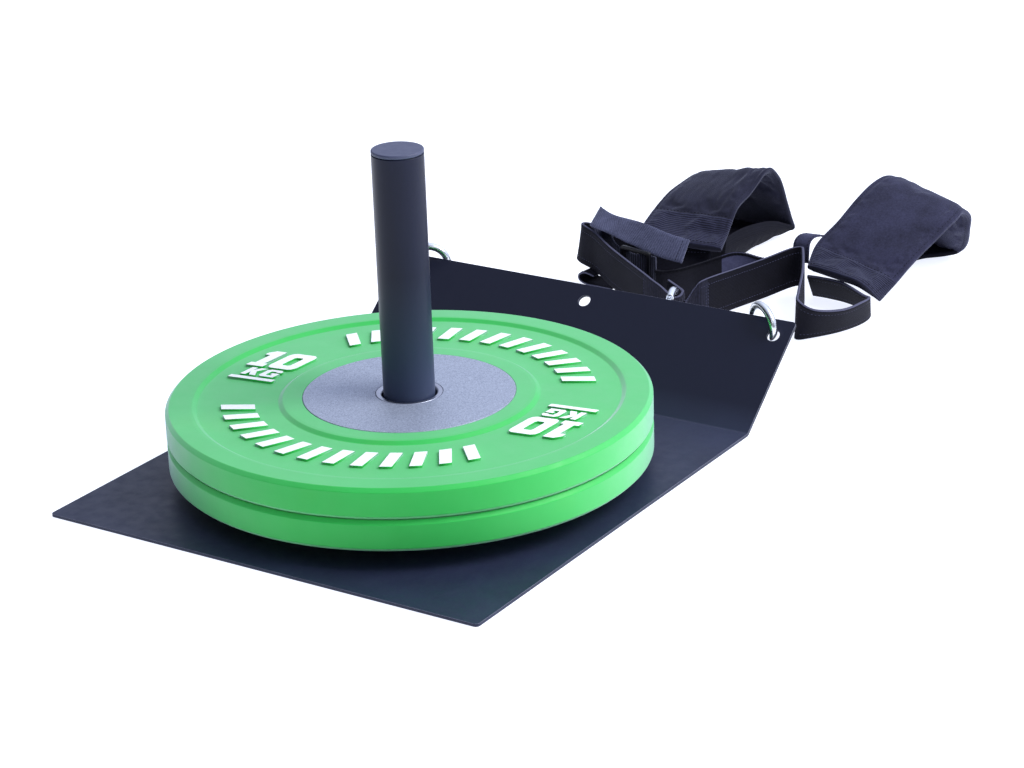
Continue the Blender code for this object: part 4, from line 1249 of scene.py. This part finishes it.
LEFT_STRAP = (
    standing(2, 474, 27, width=0.016), *eye_ring(EYE_RISE, 50, 204), standing(3, 457, 19, width=0.022),
    standing(-10, 461, 9, width=0.036), standing(-24, 468, 3), standing(-60, 492, 5),
    standing(-94, 513, 9), standing(-122, 530, 15), standing(-148, 540, 18, 3, 2),
    standing(-158, 553, 18, 12, 0), standing(-146, 565, 12, 8, -2), standing(-114, 568, 2, 0, 10),
    standing(-74, 563, 1.5, -2, 19.3), standing(-40, 567, 1.5, -6, 27), standing(-12, 582, 1.5, -10, 30),
)
RIGHT_STRAP = (
    standing(33, 490, 3, width=0.020), standing(22, 478, 4, width=0.018),
    standing(15, 469, 8, width=0.014), *eye_ring(-EYE_RISE, 290, 110), standing(29, 467, 8, width=0.019),
    standing(34, 475, 3, width=0.036), standing(40, 484, 1), standing(52, 530, 1), standing(67, 571, 3),
    standing(82, 597, 8), standing(92, 603, 10), standing(100, 594, 10), standing(123, 549, 5),
    standing(145, 497, 1), standing(153, 477, 0.5, 4, -3), standing(166, 490, 1.2, 12, -20),
    standing(182, 518, 1.2, 16, -24), standing(191, 548, 1.2, 15, -24), standing(190, 572, 1.2, 13, -28),
    standing(178, 588, 1.4, 12, -32), standing(150, 601, 1.4, 8, -29.6), standing(124, 605, 1.4, 6, -30),
    standing(107, 605, 1.4, 8, -30),
)


def selvedge(share, along):
    """Webbing is a little thicker in its two woven edges and drawn in along its two rows of stitches."""
    edge = (0.5 - abs(share)) * STRAP_WIDTH
    row = -SEAM_DEPTH * max(0, 1 - abs(edge - STRAP_SEAM) / SEAM_REACH)
    return SELVEDGE * max(0, 1 - edge / SELVEDGE_REACH) + row


strap_thread = Finish("strap_thread", (66, 68, 94), 0.6, gloss=0.2)
strap_thread.pits(0.0004, 0.00008, 0.6, detail=3)


def webbing(name, width, patch=None):
    """Black webbing with lighter selvedges, for a strap of that full width."""
    lip = (width / 2, (84, 85, 106))
    return Weave(name, (2, 2, 7), (16, 16, 32), 0.0016, 0.0011, 0.0003, 0.05, patch, lip)


for side, stations, cross_rows in (("left", LEFT_STRAP, (0.004,)), ("right", RIGHT_STRAP, (0.007, 0.010))):
    band = Band(stations, STRAP_THICKNESS, 0.0028, selvedge)
    name = f"{side}_webbing_strap"
    strap = link(name, band.mesh(name, 16, edge=0.0009))
    wide = next(run for run, row in zip(band.run, band.rows) if row[1].length > WIDE_ENOUGH)
    folded = (0, wide + cross_rows[-1], 0.0016, (10, 10, 17), (58, 59, 82))
    cloth = webbing(f"{side}_webbing", band.width, folded)
    dress(strap, "harness", cloth, "webbing", f"{side}_pull_strap")
    inset = 0.5 - STRAP_SEAM / STRAP_WIDTH
    lines = []
    for face in (1, -1):
        for share in (-inset, inset):
            lines += seam(band, share, wide, band.length - SEAM_END, face)
        for step in cross_rows:
            lines += cross_seam(band, wide + step, CROSS_REACH, face)
    sewn = sewing(f"{side}_strap_sewing", lines, STRAP_THREAD, strap_thread, "webbing")


# Back strap: a narrower strip of cloth between the slider's seam and the right pull strap, black at first
# and navy further on, where painted light makes the navy lighter on cloth that lies in shade. Its two long
# edges are overlocked with thick black thread.

BACK_WIDTH = 0.038
TAIL_WIDTH = 0.028
TAIL_THICKNESS = 0.0020
SLIDER_LENGTH = 0.042
SLIDER_RAIL = 0.004
SLIDER_DEPTH = 0.0035
SLIDER_BAR = 0.005
SLIDER_PLAY = 0.001
SLIDER_PLACE = Vector((-0.058, 0.509, 0.039))
SLIDER_HEADING = radians(-12)
SLIDER_PASS = 26
SLIDER_OFFSET = SLIDER_DEPTH / 2 + TAIL_THICKNESS / 2 + GAP
OVERLOCK_PITCH = 0.0016
OVERLOCK_ROOT, OVERLOCK_TIP = 0.41, 0.505
OVERLOCK_RISE, OVERLOCK_THREAD = 0.0009, 0.0008
NAVY_AND_LIGHT_FROM = 0.077


def slider_point(along, away):
    """A place at the slider's middle height, along it and away from its front, in mm."""
    turn = Matrix.Translation(SLIDER_PLACE) @ Matrix.Rotation(SLIDER_HEADING, 4, "Z")
    return (turn @ Vector((along / 1000, away / 1000, 0))) * 1000


sewn_end = slider_point(SLIDER_PASS + 1000 * GAP, 1000 * SLIDER_OFFSET)
BACK_STRAP = [
    standing(x, y, lift, width=BACK_WIDTH)
    for x, y, lift in (
        (sewn_end.x, sewn_end.y, 0.3), (-24, 507, 0.3), (-13, 518, 0.3), (0, 539, 2), (16, 557, 7),
        (27, 569, 10), (38, 577, 9), (54, 582, 5), (70, 583, 4),
    )
]
band = Band(BACK_STRAP, STRAP_THICKNESS, 0.0026)
strap = link("back_webbing_strap", band.mesh("back_webbing_strap", 14, edge=0.0009))
# Painted light: the navy part is painted lighter than its cloth, standing in for light on a stretch that
# lies in shade.
back_cloth = Weave(
    "back_cloth", (4, 4, 8), (28, 28, 42), 0.0011, 0.0009, 0.0003, 0.12,
    turned_under=(NAVY_AND_LIGHT_FROM, (28, 28, 44), (98, 100, 136)),
)
dress(strap, "harness", back_cloth, "webbing", "back_strap")
lines = []
for way in (1, -1):
    for i in range(int(band.length / OVERLOCK_PITCH)):
        along = i * OVERLOCK_PITCH
        tip, _ = band.at(along + OVERLOCK_PITCH / 2, way * OVERLOCK_TIP, 0)
        out = (band.at(along, way * 0.5, 0)[0] - band.at(along, 0, 0)[0]).normalized()
        for face in (1, -1):
            root, normal = band.at(along, way * OVERLOCK_ROOT, face)
            lines.append((root, tip + OVERLOCK_RISE * normal, (normal + out).normalized()))
sewn = sewing("back_strap_overlock", lines, OVERLOCK_THREAD, sewing_thread, "webbing")


# Adjuster: a moulded three-bar slider, and the ribbed strap that is threaded through it and folded back.
# The strap is slate blue with grosgrain ribs from edge to edge and a turned hem at its free end.

SLIDER_WINDOW = TAIL_WIDTH + SLIDER_PLAY
RIB_PITCH = 0.0026
RIB_HEIGHT = 0.00022
SLIDER_ROUND, SLIDER_ARRIS = 0.0025, 0.0008
THREADED_SHADE_FROM = 0.155
TAIL_HEM, TAIL_HEM_REACH = 0.007, 0.46

bm = bmesh.new()
outer_height = SLIDER_WINDOW + 2 * SLIDER_RAIL
spans = [-SLIDER_LENGTH / 2, -SLIDER_LENGTH / 2 + SLIDER_BAR, -SLIDER_BAR / 2]
spans += [-x for x in reversed(spans)]
levels = [-outer_height / 2, -SLIDER_WINDOW / 2, SLIDER_WINDOW / 2, outer_height / 2]
grid = [[bm.verts.new((x, 0, z)) for z in levels] for x in spans]
for i in range(5):
    for j in range(3):
        if j != 1 or i not in (1, 3):
            bm.faces.new((grid[i][j], grid[i + 1][j], grid[i + 1][j + 1], grid[i][j + 1]))
corners = [grid[i][j] for i in (0, -1) for j in (0, -1)]
bmesh.ops.bevel(bm, geom=corners, offset=SLIDER_ROUND, segments=4, profile=0.5, affect="VERTICES")
slider = link("three_bar_slider", mesh_from("three_bar_slider", bm))
bake(slider, walled(slider, SLIDER_DEPTH))
slider.data.transform(Matrix.Translation(SLIDER_PLACE) @ Matrix.Rotation(SLIDER_HEADING, 4, "Z"))
soften(slider, SLIDER_ARRIS, segments=3)
glossy_black = Finish("glossy_black", (13, 14, 22), 0.38, gloss=0.4)
glossy_black.pits(0.0008, 0.00004)
dress(slider, "harness", glossy_black, "black_plastic", "strap_adjuster")


def facing(x, y, z, width, *direction):
    """A station of a band from its middle in mm and the way that its width points."""
    return (x, y, z, *(Vector(direction).normalized() * 1000 * width))


back_off = 1000 * SLIDER_OFFSET
half_way = [(-SLIDER_PASS, 1), (-18.5, 1), (-14.3, 0.84), (-9.25, 0), (-4.2, -0.84)]
passes = [*half_way, (0, -1), *[(-along, share) for along, share in reversed(half_way)]]
threaded = [facing(*slider_point(along, share * back_off), TAIL_WIDTH, 0, 0, 1) for along, share in passes]
tail = [
    facing(*place, TAIL_WIDTH, *direction)
    for place, direction in (
        ((-3, 521, 59), (0, 0.65, 0.76)), ((-30, 519, 63), (0.2, 0.62, 0.76)),
        ((-68, 525, 69), (0.25, 0.7, 0.67)), ((-98, 530, 72), (-0.3, 0.8, 0.52)),
        ((-120, 536, 75), (-0.1, 0.85, 0.5)), ((-128, 542.2, 74.5), (0, 0.85, 0.53)),
        ((-130, 549.2, 68.5), (0, 0.7, 0.7)), ((-127, 552, 59), (0, 0.4, 0.9)),
        ((-115, 544, 51), (0, 0.1, 0.99)), ((-94, 523, 43), (0, 0, 1)),
    )
]
band = Band(
    (*tail, *threaded),
    TAIL_THICKNESS,
    RIB_PITCH / 5,
    relief=lambda share, along: RIB_HEIGHT * (abs(sin(pi * along / RIB_PITCH)) - 0.8),
)
ribbon = link("ribbed_adjuster_strap", band.mesh("ribbed_adjuster_strap", 8, edge=0.0006))
# Painted shade: where the strap is threaded through the slider its colours are painted darker than the
# tail's.
slate = Weave(
    "slate_ribbon", (40, 42, 60), (112, 116, 148), 0.0014, RIB_PITCH, 0.0003, 0.35,
    patch=(THREADED_SHADE_FROM, 1, RIB_PITCH, (14, 14, 22), (62, 64, 88)),
)
dress(ribbon, "harness", slate, "ribbed_webbing", "adjuster_strap")
lines = []
for face in (1, -1):
    lines += cross_seam(band, TAIL_HEM, TAIL_HEM_REACH, face)
sewn = sewing("adjuster_hem", lines, STRAP_THREAD, sewing_thread, "ribbed_webbing")


# Small ends: the strap end folded on the floor under the raised left strap, and the narrow loop of cloth
# that is sewn to the right pad's corner.

TAB_WIDTH = 0.019
END_ROW = 0.38
END_FROM, END_TO = 0.001, 0.003
SMALL_ENDS = (
    (
        "lower_strap_end", "folded_strap_end", TAIL_WIDTH, (0.1, 1, 0),
        (
            (-96, 533, 1.3), (-112, 534, 1.3), (-129, 535, 1.6), (-138, 536, 5), (-138, 536, 11),
            (-130, 535, 14.5), (-118, 534, 12.5),
        ),
        webbing("end_webbing", TAIL_WIDTH),
    ),
    (
        "tab_loop", "corner_tab", TAB_WIDTH, (1, 0.1, 0),
        (
            (91, 605.7, 36), (91, 606.8, 47), (91, 609, 57), (93, 615, 62.5), (97, 623, 63),
            (100.2, 629, 61),
        ),
        Weave("tab_cloth", (26, 26, 40), (84, 86, 118), 0.0011, 0.0009, 0.00015, 0.25),
    ),
)
for node, name, width, across, places, cloth in SMALL_ENDS:
    band = Band([facing(*place, width, *across) for place in places], TAIL_THICKNESS, 0.0022)
    end = link(name, band.mesh(name, 12, edge=0.0006))
    dress(end, "harness", cloth, "webbing", node)
    lines = []
    for face in (1, -1):
        for share in (-END_ROW, END_ROW):
            lines += seam(band, share, END_FROM, band.length - END_TO, face)
    sewn = sewing(f"{name}_sewing", lines, STRAP_THREAD, sewing_thread, "webbing")


# Gate springs: plain sleeves inside the three gates that stand for their coils. They stay as the frame has
# them and only get a wire's colour and a slight relief.

spring_wire = Finish("spring_wire", (150, 150, 154), 0.3, metallic=1.0)
spring_wire.pits(0.0012, 0.0001, 0.6, detail=3)
for label in ("left", "right", "strap"):
    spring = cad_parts[f"{label}_hook_spring"]
    spring.data.materials.clear()
    spring.data.materials.append(spring_wire.material)
